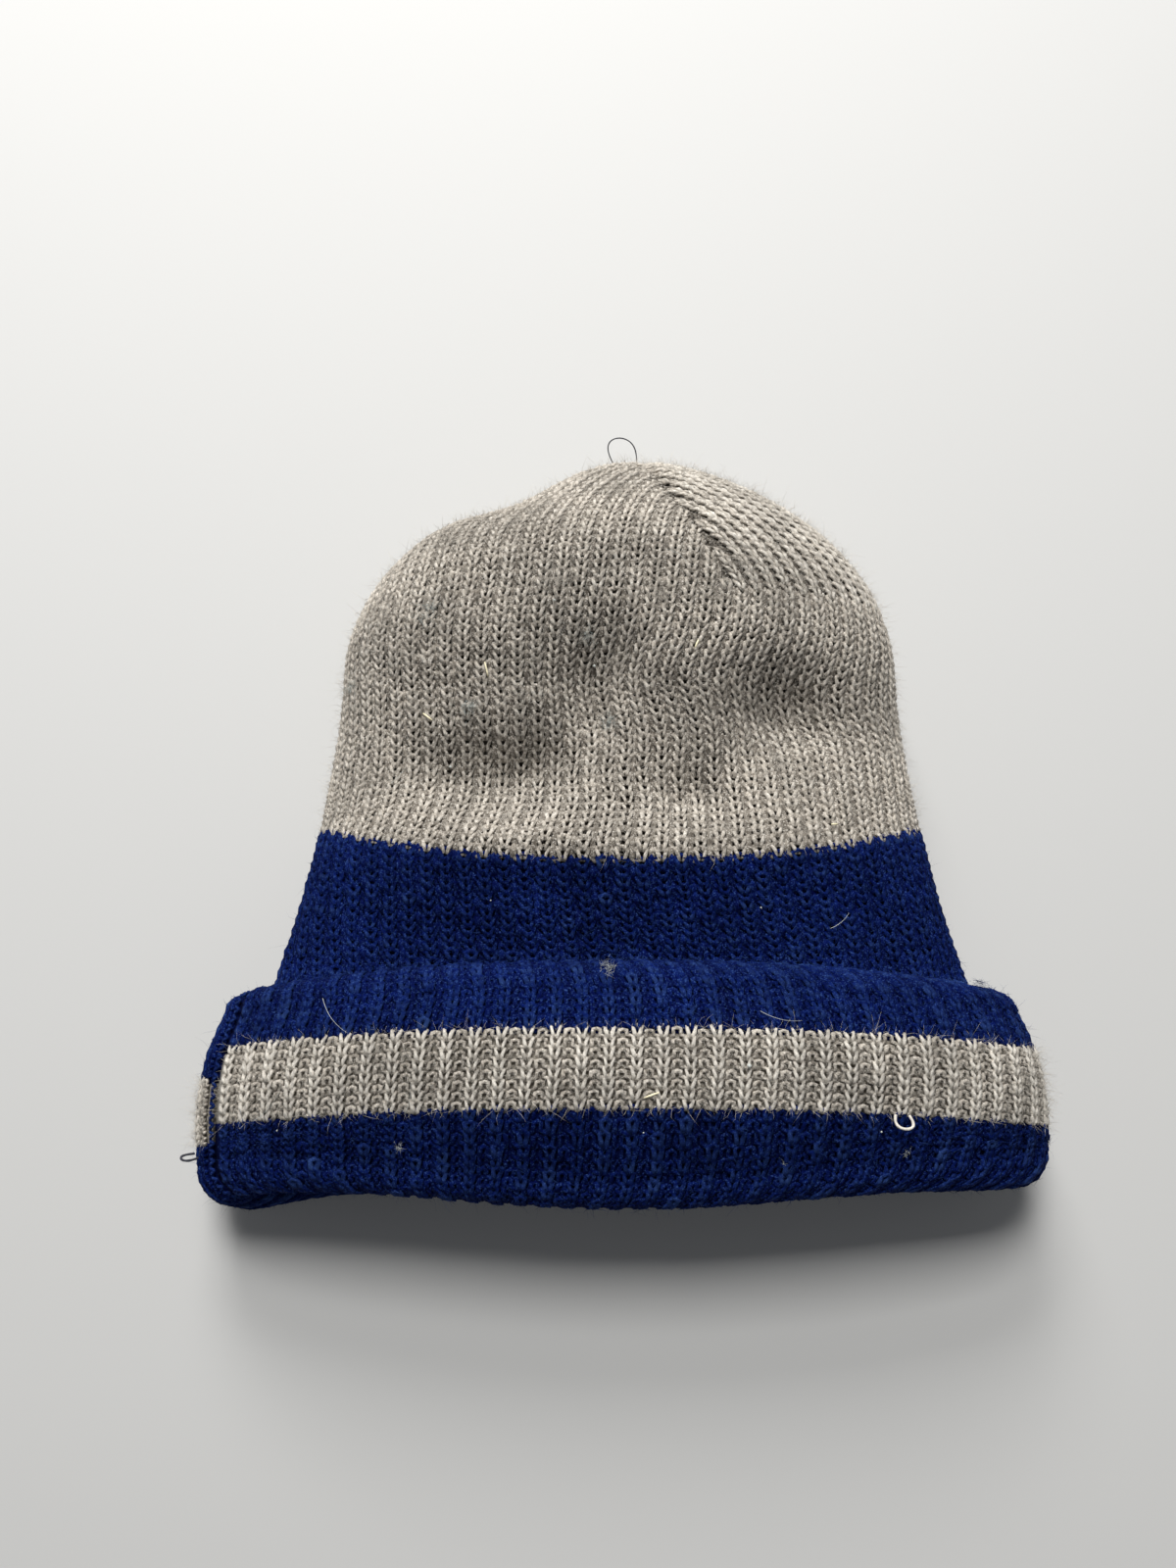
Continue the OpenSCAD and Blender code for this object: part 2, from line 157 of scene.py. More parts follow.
def curve(x: Array, pairs: Sequence[tuple[float, float]]) -> Array:
    """A smooth curve through [station, value] pairs: cubic pieces whose slope at each station
    is the slope between its two neighbours.

    Args:
        x: Stations wanted.
        pairs: The known stations and values, in rising order.

    Returns:
        Values at x, held constant past the ends.
    """
    p = np.asarray(pairs, float)
    xs, ys = p[:, 0], p[:, 1]
    m = np.empty(len(p))
    m[1:-1] = (ys[2:] - ys[:-2]) / (xs[2:] - xs[:-2])
    m[0] = (ys[1] - ys[0]) / (xs[1] - xs[0])
    m[-1] = (ys[-1] - ys[-2]) / (xs[-1] - xs[-2])
    v = np.clip(x, xs[0], xs[-1])
    i = np.clip(np.searchsorted(xs, v, side="left") - 1, 0, len(p) - 2)
    h = xs[i + 1] - xs[i]
    t = (v - xs[i]) / h
    return ((2 * t**3 - 3 * t**2 + 1) * ys[i] + (t**3 - 2 * t**2 + t) * h * m[i]
            + (3 * t**2 - 2 * t**3) * ys[i + 1] + (t**3 - t**2) * h * m[i + 1])


def smooth(a: float, b: float, x: Array) -> Array:
    """Rises from 0 at a to 1 at b, level at both ends (b may be under a)."""
    t = np.clip((np.asarray(x, float) - a) / (b - a), 0.0, 1.0)
    return t * t * (3 - 2 * t)


def spow(v: Array, e: float) -> Array:
    """A power that keeps its sign."""
    return np.sign(v) * np.abs(v) ** e


def bell(t: Array) -> Array:
    """A bell curve of height 1."""
    return np.exp(-np.square(t))


@dataclass(frozen=True)
class HatForm:
    """The cloth's path and its faces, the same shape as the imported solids.

    A point is named by q, how far along the path (0 shell, 1 inner fold, 2 hidden ply,
    3 top fold, 4 cuff face, 5 bottom fold, 6 lining), by th, degrees round the section, and by
    f, 0 on the face that shows and 1 on its back.
    """

    tip: tuple[float, float, float] = (4.0, 118.0, 33.0)
    shoulder_y: float = 45.0
    dart_end_y: float = 62.0
    crease_y: float = -47.0
    border_y: float = -19.0
    border_rise: float = 13.0
    top_fold_y: float = -54.0
    bottom_fold_y: float = -106.0
    stripe_top_y: float = -66.0
    stripe_bottom_y: float = -88.0
    cuff_sag: float = 6.0
    fold_rise: float = 7.0
    ply: float = 2.6
    gap: float = 0.3
    blunt: float = 0.64
    dart_angle: float = 72.0
    crown_twist: float = 9.0
    gore_angle: float = 120.0
    tip_stop: float = 0.985
    body_square: tuple[float, float] = (2.5, 3.0)
    cuff_square: tuple[float, float] = (2.4, 3.2)
    side_share: float = 0.45
    corner_angle: float = 195.0
    corner_width: float = 35.0
    tip_slump: tuple = (7, -38, 20, 75, 112)
    middle: tuple[float, float, float] = (-1.71, 4.86, 0.0)
    body_half: tuple = ((-118, 112), (-80, 108.5), (-47, 104.5), (-15, 96), (18, 91),
                        (45, 88), (120, 88))
    body_top: tuple = ((-118, 37), (-100, 42), (-80, 47), (-62, 48), (-47, 45), (-26, 51),
                       (-12, 54), (2, 51), (24, 51), (50, 60), (76, 65), (120, 65))
    body_low: tuple = ((-118, 10), (-54, 10), (-42, 5), (-30, 0), (120, 0))
    cuff_half: tuple = ((-122, 124), (-104, 125.4), (-88, 125.4), (-72, 122.8), (-58, 117.5),
                        (-46, 114))
    cuff_top: tuple = ((-122, 42), (-106, 50), (-88, 60), (-72, 64.5), (-58, 64), (-46, 60))
    hollows: tuple = ((-34, 11, -12.5, 27, 11.5), (-8, 38, -11, 13, 18),
                      (50, 30, -10.5, 16, 12.5), (24, 3, -8, 16, 10.5), (38, 16, -3.5, 11, 8),
                      (-15, -12, 2.5, 70, 11), (-4, 84, 2, 50, 14))
    seam_drift: tuple = ((0, 0), (1, 0), (2, -8), (3, -22), (4, -32), (5, -33), (6, -24),
                         (6.5, 0), (7, 0))

    @property
    def inner_fold_y(self) -> float:
        """Where the small inner fold starts, just inside the large one."""
        return self.bottom_fold_y + 4.0

    def q_shell(self, y: float) -> float:
        """Path place of a station on the shell."""
        return (self.tip[1] - y) / (self.tip[1] - self.inner_fold_y)

    def q_cuff(self, y: float) -> float:
        """Path place of a station on the cuff face."""
        return 4 + (self.top_fold_y - y) / (self.top_fold_y - self.bottom_fold_y)

    def q_lining(self, y: float) -> float:
        """Path place of a station on the lining."""
        return 6 + (y - self.bottom_fold_y) / (self.tip[1] - self.bottom_fold_y)

    def crown_y(self, u: float) -> float:
        """Station a share u of the way from the shoulder to the tip."""
        return self.shoulder_y + u * (self.tip[1] - self.shoulder_y)

    def seam_at(self, q: Array) -> Array:
        """Angle of the side seam at q: under the left dart, drifting as the cloth is turned."""
        return self.dart_angle + self.gore_angle + curve(q, self.seam_drift)

    def twist(self, q: Array) -> Array:
        """How far the gores twist round the tip as they narrow, at q."""
        q = np.asarray(q, float)
        y = np.where(q <= 1, self.tip[1] - q * (self.tip[1] - self.inner_fold_y),
                     self.bottom_fold_y + (q - 6) * (self.tip[1] - self.bottom_fold_y))
        return self.crown_twist * smooth(0.25, 0.95, self.closing(y))

    def closing(self, y: Array) -> Array:
        """0 below the shoulder, 1 at the tip."""
        return np.clip((y - self.shoulder_y) / (self.tip[1] - self.shoulder_y), 0.0, 1.0)

    @staticmethod
    def _section(th: Array, a: Array, zt: Array, zb: Array, zc: Array, nt: float,
                 nb: float) -> tuple[Array, Array]:
        """A flattened round: width a times a power of the cosine, height a power of the sine,
        squarer below than above, and cut flat where it lies on the table."""
        s = np.sin(np.radians(th))
        n = np.where(s >= 0, nt, nb)
        reach = np.where(s >= 0, zt - zc, zc - zb + 1.5)
        c = np.cos(np.radians(th))
        return (a * np.sign(c) * np.abs(c) ** (2 / n),
                np.maximum(zc + reach * np.sign(s) * np.abs(s) ** (2 / n), zb))

    def body(self, th: Array, y: Array, off: Array) -> Array:
        """The body tube moved out by off: its section shrinks toward the tip by a power of
        1 - u squared, and soft hollows are pressed into its top.

        Args:
            th: Degrees round the section.
            y: Stations.
            off: How far outside the nominal face.

        Returns:
            Points, (..., 3).
        """
        u = self.closing(y)
        left = np.maximum(1 - u * u, 0.0)
        k, kt, kb = left ** self.blunt, left ** 0.5, left ** 0.4
        a, zt = curve(y, self.body_half), curve(y, self.body_top)
        zb = np.maximum(curve(y, self.body_low), 0.0)
        zm = zb + (zt - zb) * 0.46
        zc = zm * k + self.tip[2] * (1 - k)
        x, z = self._section(th, (a + off) * k, zc + (zt + off - zm) * kt,
                             zc - (zm - zb + off) * kb, zc, *self.body_square)
        x0 = a * k * spow(np.cos(np.radians(th)), 0.8)
        dent = sum(d * bell((x0 - hx) / wx) * bell((y - hy) / wy)
                   for hx, hy, d, wx, wy in self.hollows)
        z = z + dent * np.sqrt(np.maximum(np.sin(np.radians(th)), 0)) * np.minimum(1, 1.5 * k)
        drop, at_x, wide, y0, y1 = self.tip_slump
        slump = drop * bell((x0 - at_x) / wide) * smooth(y0, y1, y)
        return np.stack([x + self.tip[0] * u * u, y + off * u - slump, z], -1)

    def cuff(self, th: Array, y: Array, off: Array) -> Array:
        """The cuff face moved out by off, a flattened round resting on the table."""
        zt, zb = curve(y, self.cuff_top) + off, -off
        x, z = self._section(th, curve(y, self.cuff_half) + off, zt, zb,
                             zb + (zt - zb) * 0.44, *self.cuff_square)
        return np.stack([x, y + 0 * x, z], -1)

    def _fold_shift(self, th: Array) -> Array:
        """How far the bottom fold is drawn up, round the hat."""
        d = (th - self.corner_angle + 180) % 360 - 180
        return self.fold_rise * (1 - bell(np.cos(np.radians(th)) / self.side_share)
                                 - bell(d / self.corner_width))

    def _low(self, y: Array) -> Array:
        """1 at the bottom fold, 0 at the stripe and above."""
        return 1 - smooth(self.bottom_fold_y, self.stripe_bottom_y + 2, y)

    def _shell_pt(self, th: Array, y: Array, f: Array) -> Array:
        """The shell ply, its courses lifted at the sides near the colour change."""
        front = np.maximum(np.sin(np.radians(th)), 0) ** 2
        s = (self._fold_shift(th) * self._low(y)
             + self.border_rise * (1 - front) * bell((y - self.border_y) / 22))
        return self.body(th, y + s, -self.ply * f)

    def _cuff_shift(self, th: Array, y: Array) -> Array:
        """How far the cuff's lines sag at the sides and are drawn up at the fold."""
        front = np.maximum(np.sin(np.radians(th)), 0) ** 2
        w = self._low(y)
        return -self.cuff_sag * (1 - front) * (1 - w) + self._fold_shift(th) * w

    def _hidden_pt(self, th: Array, y: Array, f: Array) -> Array:
        """The ply between the cuff face and the shell."""
        return self.body(th, y + self._cuff_shift(th, y), self.gap + self.ply * f)

    def _cuff_pt(self, th: Array, y: Array, f: Array) -> Array:
        """The cuff face's ply."""
        return self.cuff(th, y + self._cuff_shift(th, y), -self.ply * f)

    def _lining_pt(self, th: Array, y: Array, f: Array) -> Array:
        """The lining ply, inside the shell."""
        return self.body(th, y + self._fold_shift(th) * self._low(y),
                         -2 * self.ply - self.gap + self.ply * f)

    @staticmethod
    def _fold(a: Array, b: Array, t: Array, way: float) -> Array:
        """A half turn of cloth from a to b, bulging way along Y by half their distance."""
        m, h = (a + b) / 2, (a - b) / 2
        r = np.hypot(h[..., 0], h[..., 2])
        out = m + np.cos(np.pi * t)[..., None] * h
        out[..., 1] += way * r * np.sin(np.pi * t)
        return out

    def _leg(self, k: int, t: Array, th: Array, f: Array) -> Array:
        """Points on stretch k of the path, t of the way along it."""
        tip, mouth = self.tip[1], self.bottom_fold_y
        inner, top = self.inner_fold_y + 0 * t, self.top_fold_y + 0 * t
        if k == 0:
            return self._shell_pt(th, tip + (inner - tip) * t, f)
        if k == 1:
            return self._fold(self._shell_pt(th, inner, f), self._hidden_pt(th, inner, f), t, -1)
        if k == 2:
            return self._hidden_pt(th, inner + (top - inner) * t, f)
        if k == 3:
            return self._fold(self._hidden_pt(th, top, f), self._cuff_pt(th, top, f), t, 1)
        if k == 4:
            return self._cuff_pt(th, top + (mouth - top) * t, f)
        if k == 5:
            return self._fold(self._cuff_pt(th, mouth + 0 * t, f),
                              self._lining_pt(th, mouth + 0 * t, f), t, -1)
        return self._lining_pt(th, mouth + (tip - mouth) * t, f)

    def cloth(self, q: Array, th: Array, f: Array) -> Array:
        """Points of the cloth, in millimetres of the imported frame.

        Args:
            q: Places along the path.
            th: Degrees round the section.
            f: Depth in the ply, 0 to 1.

        Returns:
            Points, (..., 3).
        """
        q, th, f = np.broadcast_arrays(*(np.asarray(v, float) for v in (q, th, f)))
        leg = np.floor(np.clip(q, 0, 6.9999)).astype(int)
        out = np.empty(q.shape + (3,))
        for k in np.unique(leg):
            at = leg == k
            out[at] = self._leg(int(k), q[at] - k, th[at], f[at])
        return out - np.array(self.middle)


@dataclass
class Courses:
    """Counts courses of knitting along the path, from the crown tip."""

    form: HatForm
    height: float = 2.8
    q: Array = field(init=False)
    r: Array = field(init=False)

    def __post_init__(self) -> None:
        """Measures the path's length at several angles and divides it by a course's height."""
        f = self.form
        self.q = np.concatenate([np.linspace(f.q_shell(f.crown_y(f.tip_stop)), 1, 500),
                                 *(np.linspace(k, k + 1, 60)[1:] for k in (1, 2, 3, 4, 5)),
                                 np.linspace(6, f.q_lining(f.crown_y(f.tip_stop)), 400)[1:]])
        th = np.array([40.0, 65, 90, 90, 115, 140, 270])
        p = f.cloth(self.q[:, None], th[None, :], 0.0)
        step = np.linalg.norm(np.diff(p, axis=0), axis=-1).mean(1)
        self.r = np.concatenate([[0.0], np.cumsum(step)]) / self.height

    def at(self, q: float) -> float:
        """Course number at a place on the path."""
        return float(np.interp(q, self.q, self.r))

    def place(self, r: Array) -> Array:
        """Place on the path of a course number."""
        return np.interp(r, self.r, self.q)


# ------------------------------------------------------------------ wales and courses on it

class Patch:
    """A stretch of cloth with its own fabric coordinates: X rib repeats, R courses.

    The surface is sampled once on a fine grid, evenly by arc length across, and read back by
    blending the four nearest samples.
    """

    REPEATS = 75
    DART_DIP = (1.9, 3.0)
    SEAM_DIP = (0.55, 1.6)

    def __init__(self, form: HatForm, courses: Courses, r0: float, r1: float,
                 x0: float, x1: float, th0: Callable[[Array], Array],
                 th1: Callable[[Array], Array], dart: bool = False,
                 pins: Sequence[tuple[float, float]] = (), pins_fade: float = 12.0,
                 sewn: float | None = None,
                 jog: tuple[float, float, float, float, float] | None = None) -> None:
        """Samples the stretch.

        Args:
            form: The hat's form.
            courses: The course counter.
            r0: First course.
            r1: Last course.
            x0: Repeat count at its first edge.
            x1: Repeat count at its last edge.
            th0: Angle of its first edge at a path place.
            th1: Angle of its last edge at a path place.
            dart: True for a gore, whose wales run straight and are cut at its edges.
            pins: (repeat, angle) pairs the wales pass through at the first course.
            pins_fade: Courses over which the pins let go.
            sewn: Course at which a dart ends.
            jog: Courses by which the wales just past the seam sit further on, and the courses
                between which that grows and fades.
        """
        self.sewn = r1 if sewn is None else sewn
        self.jog = jog
        self.form, self.r0, self.r1, self.x0, self.x1, self.dart = form, r0, r1, x0, x1, dart
        self.rows = max(int((r1 - r0) * 3) + 1, 8)
        self.cols = int((x1 - x0) * 5) + 1
        self.r = np.linspace(r0, r1, self.rows)
        q = courses.place(self.r)
        fine = np.linspace(0, 1, 601)
        lo, hi = th0(q), th1(q)
        th = lo[:, None] + (hi - lo)[:, None] * fine[None, :]
        p = form.cloth(q[:, None], th, 0.0)
        arc = np.concatenate([np.zeros((self.rows, 1)),
                              np.cumsum(np.linalg.norm(np.diff(p, axis=1), axis=-1), 1)], 1)
        self.width = arc[:, -1]
        self.base_pitch = float(np.interp(self.sewn, self.r, self.width)) / (x1 - x0)
        share = arc / self.width[:, None]
        v = np.linspace(0, 1, self.cols)
        theta = np.empty((self.rows, self.cols))
        for i in range(self.rows):
            want = v
            if pins:
                hold = 1 - smooth(0, pins_fade, self.r[i] - r0)
                px = [0.0] + [(x - x0) / (x1 - x0) for x, _ in pins] + [1.0]
                natural = [np.interp(a, th[i], share[i]) for _, a in pins]
                py = [0.0] + [s + (n - s) * float(hold) for s, n in zip(px[1:-1], natural)] + [1.0]
                want = np.interp(v, px, py)
            theta[i] = np.interp(want, share[i], th[i])
        self.point = form.cloth(q[:, None], theta, 0.0)
        back = form.cloth(q[:, None], theta, 1.0)
        n = np.cross(np.gradient(self.point, axis=1), np.gradient(self.point, axis=0))
        n /= np.maximum(np.linalg.norm(n, axis=-1, keepdims=True), 1e-9)
        out = self.point - back
        out /= np.maximum(np.linalg.norm(out, axis=-1, keepdims=True), 1e-9)
        n = np.where((n * out).sum(-1, keepdims=True) < 0, -n, n)
        n = n * 0.75 + out * 0.25
        self.normal = n / np.linalg.norm(n, axis=-1, keepdims=True)

    def across(self, x: Array, r: Array) -> Array:
        """Share of the way across at repeat x and course r, past 0 or 1 where a dart cut it."""
        if not self.dart:
            return (x - self.x0) / (self.x1 - self.x0)
        width = np.interp(r, self.r, self.width)
        return 0.5 + (x - (self.x0 + self.x1) / 2) * self.base_pitch / width

    def edge_distance(self, v: Array, r: Array) -> Array:
        """Distance to the nearer sewn edge."""
        return np.clip(np.minimum(v, 1 - v), 0, 1) * np.interp(r, self.r, self.width)

    def valley(self, v: Array, r: Array) -> Array:
        """How far the cloth dips beside a seam: a bell of the distance to the edge, deeper in
        a dart and easing out toward the dart's end."""
        d = self.edge_distance(v, r)
        if self.dart:
            ease = smooth(0.0, 5.0, self.sewn - r)
            return -(self.DART_DIP[0] * ease) * bell(d / self.DART_DIP[1])
        return -self.SEAM_DIP[0] * bell(d / self.SEAM_DIP[1])

    def place(self, v: Array, r: Array, h: Array) -> tuple[Array, Array]:
        """Points h outside the face, and the outward direction there.

        Args:
            v: Shares of the way across.
            r: Courses.
            h: Heights over the nominal face.

        Returns:
            Points and unit normals, (..., 3) each.
        """
        v = np.clip(v, 0, 1)
        h = h + self.valley(v, r)
        if self.jog:
            far, a0, a1, b0, b1 = self.jog
            r = r + far * (1 - smooth(1.0, 9.0, v * (self.x1 - self.x0))) \
                * smooth(a0, a1, r) * (1 - smooth(b0, b1, r))
        j = np.clip(v * (self.cols - 1), 0, self.cols - 1.001)
        i = np.clip((r - self.r0) / (self.r1 - self.r0) * (self.rows - 1), 0, self.rows - 1.001)
        i0, j0 = i.astype(int), j.astype(int)
        a, b = (i - i0)[..., None], (j - j0)[..., None]

        def read(g: Array) -> Array:
            """Blend of the four samples round each place."""
            return ((1 - a) * ((1 - b) * g[i0, j0] + b * g[i0, j0 + 1])
                    + a * ((1 - b) * g[i0 + 1, j0] + b * g[i0 + 1, j0 + 1]))

        n = read(self.normal)
        n = n / np.maximum(np.linalg.norm(n, axis=-1, keepdims=True), 1e-9)
        return read(self.point) + n * h[..., None], n


# ------------------------------------------------------------------ meshes

@dataclass
class Skin:
    """Vertices, faces and per-vertex facts of a mesh being put together."""

    verts: list[Array] = field(default_factory=list)
    quads: list[Array] = field(default_factory=list)
    tris: list[Array] = field(default_factory=list)
    height: list[Array] = field(default_factory=list)
    tone: list[Array] = field(default_factory=list)
    uv: list[Array] = field(default_factory=list)
    normals: list[Array] = field(default_factory=list)
    count: int = 0

    def add(self, v: Array, quads: Array | None = None, tris: Array | None = None,
            height: Array | float = 0.0, tone: Array | float = 0.5,
            uv: Array | None = None, normals: Array | None = None) -> None:
        """Adds a closed shape.

        Args:
            v: Its vertices in millimetres.
            quads: Its four-sided faces.
            tris: Its three-sided faces.
            height: Height of each vertex over the cloth; the material paints shade where it is
                low and a highlight where it is high.
            tone: Shade of each vertex, 0 dark to 1 pale: how much of the painted highlight it
                takes.
            uv: Fabric coordinates of each vertex.
            normals: The cloth's outward direction at each vertex.
        """
        n = len(v)
        if quads is not None and len(quads):
            self.quads.append(quads + self.count)
        if tris is not None and len(tris):
            self.tris.append(tris + self.count)
        self.verts.append(v)
        self.height.append(np.broadcast_to(np.asarray(height, float), (n,)))
        self.tone.append(np.broadcast_to(np.asarray(tone, float), (n,)))
        self.uv.append(np.zeros((n, 2)) if uv is None else uv)
        self.normals.append(np.tile([0.0, 0, 1], (n, 1)) if normals is None else normals)
        self.count += n

    def build(self, name: str) -> bpy.types.Object:
        """Writes the mesh in metres, smooth shaded, with its attributes.

        Args:
            name: The piece's name.

        Returns:
            The new object, at the origin.
        """
        v = np.concatenate(self.verts) * MM
        q = np.concatenate(self.quads) if self.quads else np.zeros((0, 4), int)
        t = np.concatenate(self.tris) if self.tris else np.zeros((0, 3), int)
        loops = np.concatenate([q.ravel(), t.ravel()]).astype(np.int32)
        starts = np.concatenate([np.arange(len(q)) * 4,
                                 len(q) * 4 + np.arange(len(t)) * 3]).astype(np.int32)
        me = bpy.data.meshes.new(name)
        me.vertices.add(len(v))
        me.vertices.foreach_set("co", v.astype(np.float32).ravel())
        me.loops.add(len(loops))
        me.loops.foreach_set("vertex_index", loops)
        me.polygons.add(len(starts))
        me.polygons.foreach_set("loop_start", starts)
        me.polygons.foreach_set("use_smooth", np.ones(len(starts), bool))
        for key, parts in (("height", self.height), ("tone", self.tone)):
            att = me.attributes.new(key, "FLOAT", "POINT")
            att.data.foreach_set("value", np.concatenate(parts).astype(np.float32))
        uv = np.concatenate(self.uv)
        if np.ptp(uv) > 0:
            layer = me.uv_layers.new(name="OFBake")
            layer.data.foreach_set("uv", uv[loops].astype(np.float32).ravel())
        me.update(calc_edges=True)
        me.validate()
        ob = bpy.data.objects.new(name, me)
        bpy.context.scene.collection.objects.link(ob)
        LOG.info("%s: %d faces", name, len(starts))
        return ob


def tube(path: Array, normal: Array, radius: Array, sides: int = 4) -> tuple[Array, Array, Array]:
    """A round yarn along a path: at each point a ring of the radius, square to the path, one
    of its axes near the given normal; both ends are closed.

    Args:
        path: Points, (n, 3).
        normal: Directions roughly square to the path, (n, 3).
        radius: Radius at each point, (n,).
        sides: Corners of the ring.

    Returns:
        Vertices, four-sided faces, three-sided faces.
    """
    n = len(path)
    t = np.gradient(path, axis=0)
    t /= np.maximum(np.linalg.norm(t, axis=1, keepdims=True), 1e-9)
    b = np.cross(t, normal)
    b /= np.maximum(np.linalg.norm(b, axis=1, keepdims=True), 1e-9)
    m = np.cross(b, t)
    a = 2 * np.pi * (np.arange(sides) + 0.5) / sides
    ring = (np.cos(a)[None, :, None] * b[:, None] + np.sin(a)[None, :, None] * m[:, None])
    v = (path[:, None] + ring * radius[:, None, None]).reshape(-1, 3)
    i, k = np.meshgrid(np.arange(n - 1), np.arange(sides), indexing="ij")
    k2 = (k + 1) % sides
    quads = np.stack([i * sides + k, (i + 1) * sides + k, (i + 1) * sides + k2,
                      i * sides + k2], -1).reshape(-1, 4)
    last = (n - 1) * sides
    fan = np.arange(1, sides - 1)
    tris = np.concatenate([np.stack([0 * fan, fan, fan + 1], -1),
                           np.stack([0 * fan + last, last + fan + 1, last + fan], -1)])
    return v, quads, tris


def slab(top: Array, bottom: Array) -> tuple[Array, Array]:
    """A closed sheet between two grids of points of the same size.

    Args:
        top: Outer face, (rows, cols, 3), its normal being across x along.
        bottom: Inner face, the same size.

    Returns:
        Vertices and four-sided faces.
    """
    r, c = top.shape[:2]
    idx = np.arange(r * c).reshape(r, c)
    low = idx + r * c

    def cells(g: Array) -> Array:
        """Faces of a grid, turned so that they look along across x along."""
        return np.stack([g[:-1, :-1], g[:-1, 1:], g[1:, 1:], g[1:, :-1]], -1).reshape(-1, 4)

    def rim(a: Array, b: Array) -> Array:
        """Faces of an edge wall from index line a to line b."""
        return np.stack([a[1:], a[:-1], b[:-1], b[1:]], -1)

    quads = np.concatenate([cells(idx), cells(low)[:, ::-1],
                            rim(idx[0], low[0]), rim(idx[-1][::-1], low[-1][::-1]),
                            rim(idx[::-1, 0], low[::-1, 0]), rim(idx[:, -1], low[:, -1])])
    return np.concatenate([top.reshape(-1, 3), bottom.reshape(-1, 3)]), quads


def cloth_sheet(patch: Patch, rows: Array, cols: int, lift: Callable[[Array, Array], Array],
                under: float, tone: float, height: float | None = None) -> Skin:
    """A closed sheet that follows a patch, its two faces kept off the table.

    Args:
        patch: The stretch of cloth.
        rows: Courses of its rows of points.
        cols: Points across.
        lift: Height of its face over the cloth at shares across and courses.
        under: Depth of its back under the cloth's face.
        tone: Its shade, 0 dark to 1 pale: how much of the painted highlight it takes.
        height: Height noted at its points, the face's own by default; a low height makes the
            material paint the sheet in shade.

    Returns:
        The skin holding it.
    """
    v, r = np.meshgrid(np.linspace(0, 1, cols), rows)
    h = lift(v, r)
    top, nm = patch.place(v, r, h)
    low, _ = patch.place(v, r, np.full(v.shape, -under))
    top[..., 2], low[..., 2] = np.maximum(top[..., 2], 0.3), np.maximum(low[..., 2], 0.8)
    verts, quads = slab(top, low)
    along = (r - rows[0]) / (rows[-1] - rows[0])
    uv = np.stack([0.01 + 0.98 * v.ravel(), 0.01 + 0.98 * along.ravel()], -1)
    skin = Skin()
    skin.add(verts, quads, None, np.tile(h.ravel(), 2) if height is None else height, tone,
             np.tile(uv, (2, 1)), np.tile(nm.reshape(-1, 3), (2, 1)))
    return skin


def flat_size(patch: Patch, rows: Array, course: float) -> tuple[tuple[float, float], float]:
    """Size of a run of courses laid flat.

    Args:
        patch: The stretch of cloth.
        rows: Courses from its first to its last.
        course: Height of a course in millimetres.

    Returns:
        Width and length, and area, in metres.
    """
    width = np.interp(rows, patch.r, patch.width)
    long = float(rows[-1] - rows[0]) * course
    flat = (float(width.max()) * MM, long * MM)
    return flat, min(float(width.mean()) * MM * long * MM, flat[0] * flat[1])


# ------------------------------------------------------------------ yarn and stitches

@dataclass(frozen=True)
class Gauge:
    """How the yarn lies in the rib: share of a repeat taken by the knit wale, the yarn's
    radius, half height of a loop in courses and its flare in widths, in knit and in purl, how
    far the yarn comes forward or goes back, where its middle sits under the face, and the
    least share of the painted highlight on the yarn's tops that a stitch draws at random."""

    knit_share: float = 0.76
    radius: float = 0.74
    reach: float = 0.80
    flare: float = 0.275
    throw: float = 0.48
    purl_reach: float = 0.72
    purl_flare: float = 0.16
    purl_throw: float = 0.10
    rib: float = 0.16
    seat: float = -1.25
    steps: int = 8
    unruly: float = 1.0
    pale: float = 0.1


BODY_GAUGE = Gauge()
NAVY_GAUGE = Gauge(radius=0.86, throw=0.38, purl_throw=0.0, rib=0.30, unruly=1.4, seat=-1.2)
RIDGED_GAUGE = Gauge(knit_share=0.68, radius=0.66, rib=0.50, seat=-1.2)
CUFF_GAUGE = Gauge(knit_share=0.45, radius=0.66, throw=0.50, flare=0.27, reach=0.72,
                   purl_reach=0.34, purl_flare=0.14, purl_throw=-0.05, rib=0.14, seat=-1.0,
                   pale=0.9)
CUFF_NAVY_GAUGE = Gauge(knit_share=0.46, radius=0.90, throw=0.28, flare=0.25, reach=0.76,
                        purl_reach=0.45, purl_flare=0.14, purl_throw=-0.03, rib=0.42,
                        unruly=1.6, seat=-1.15)


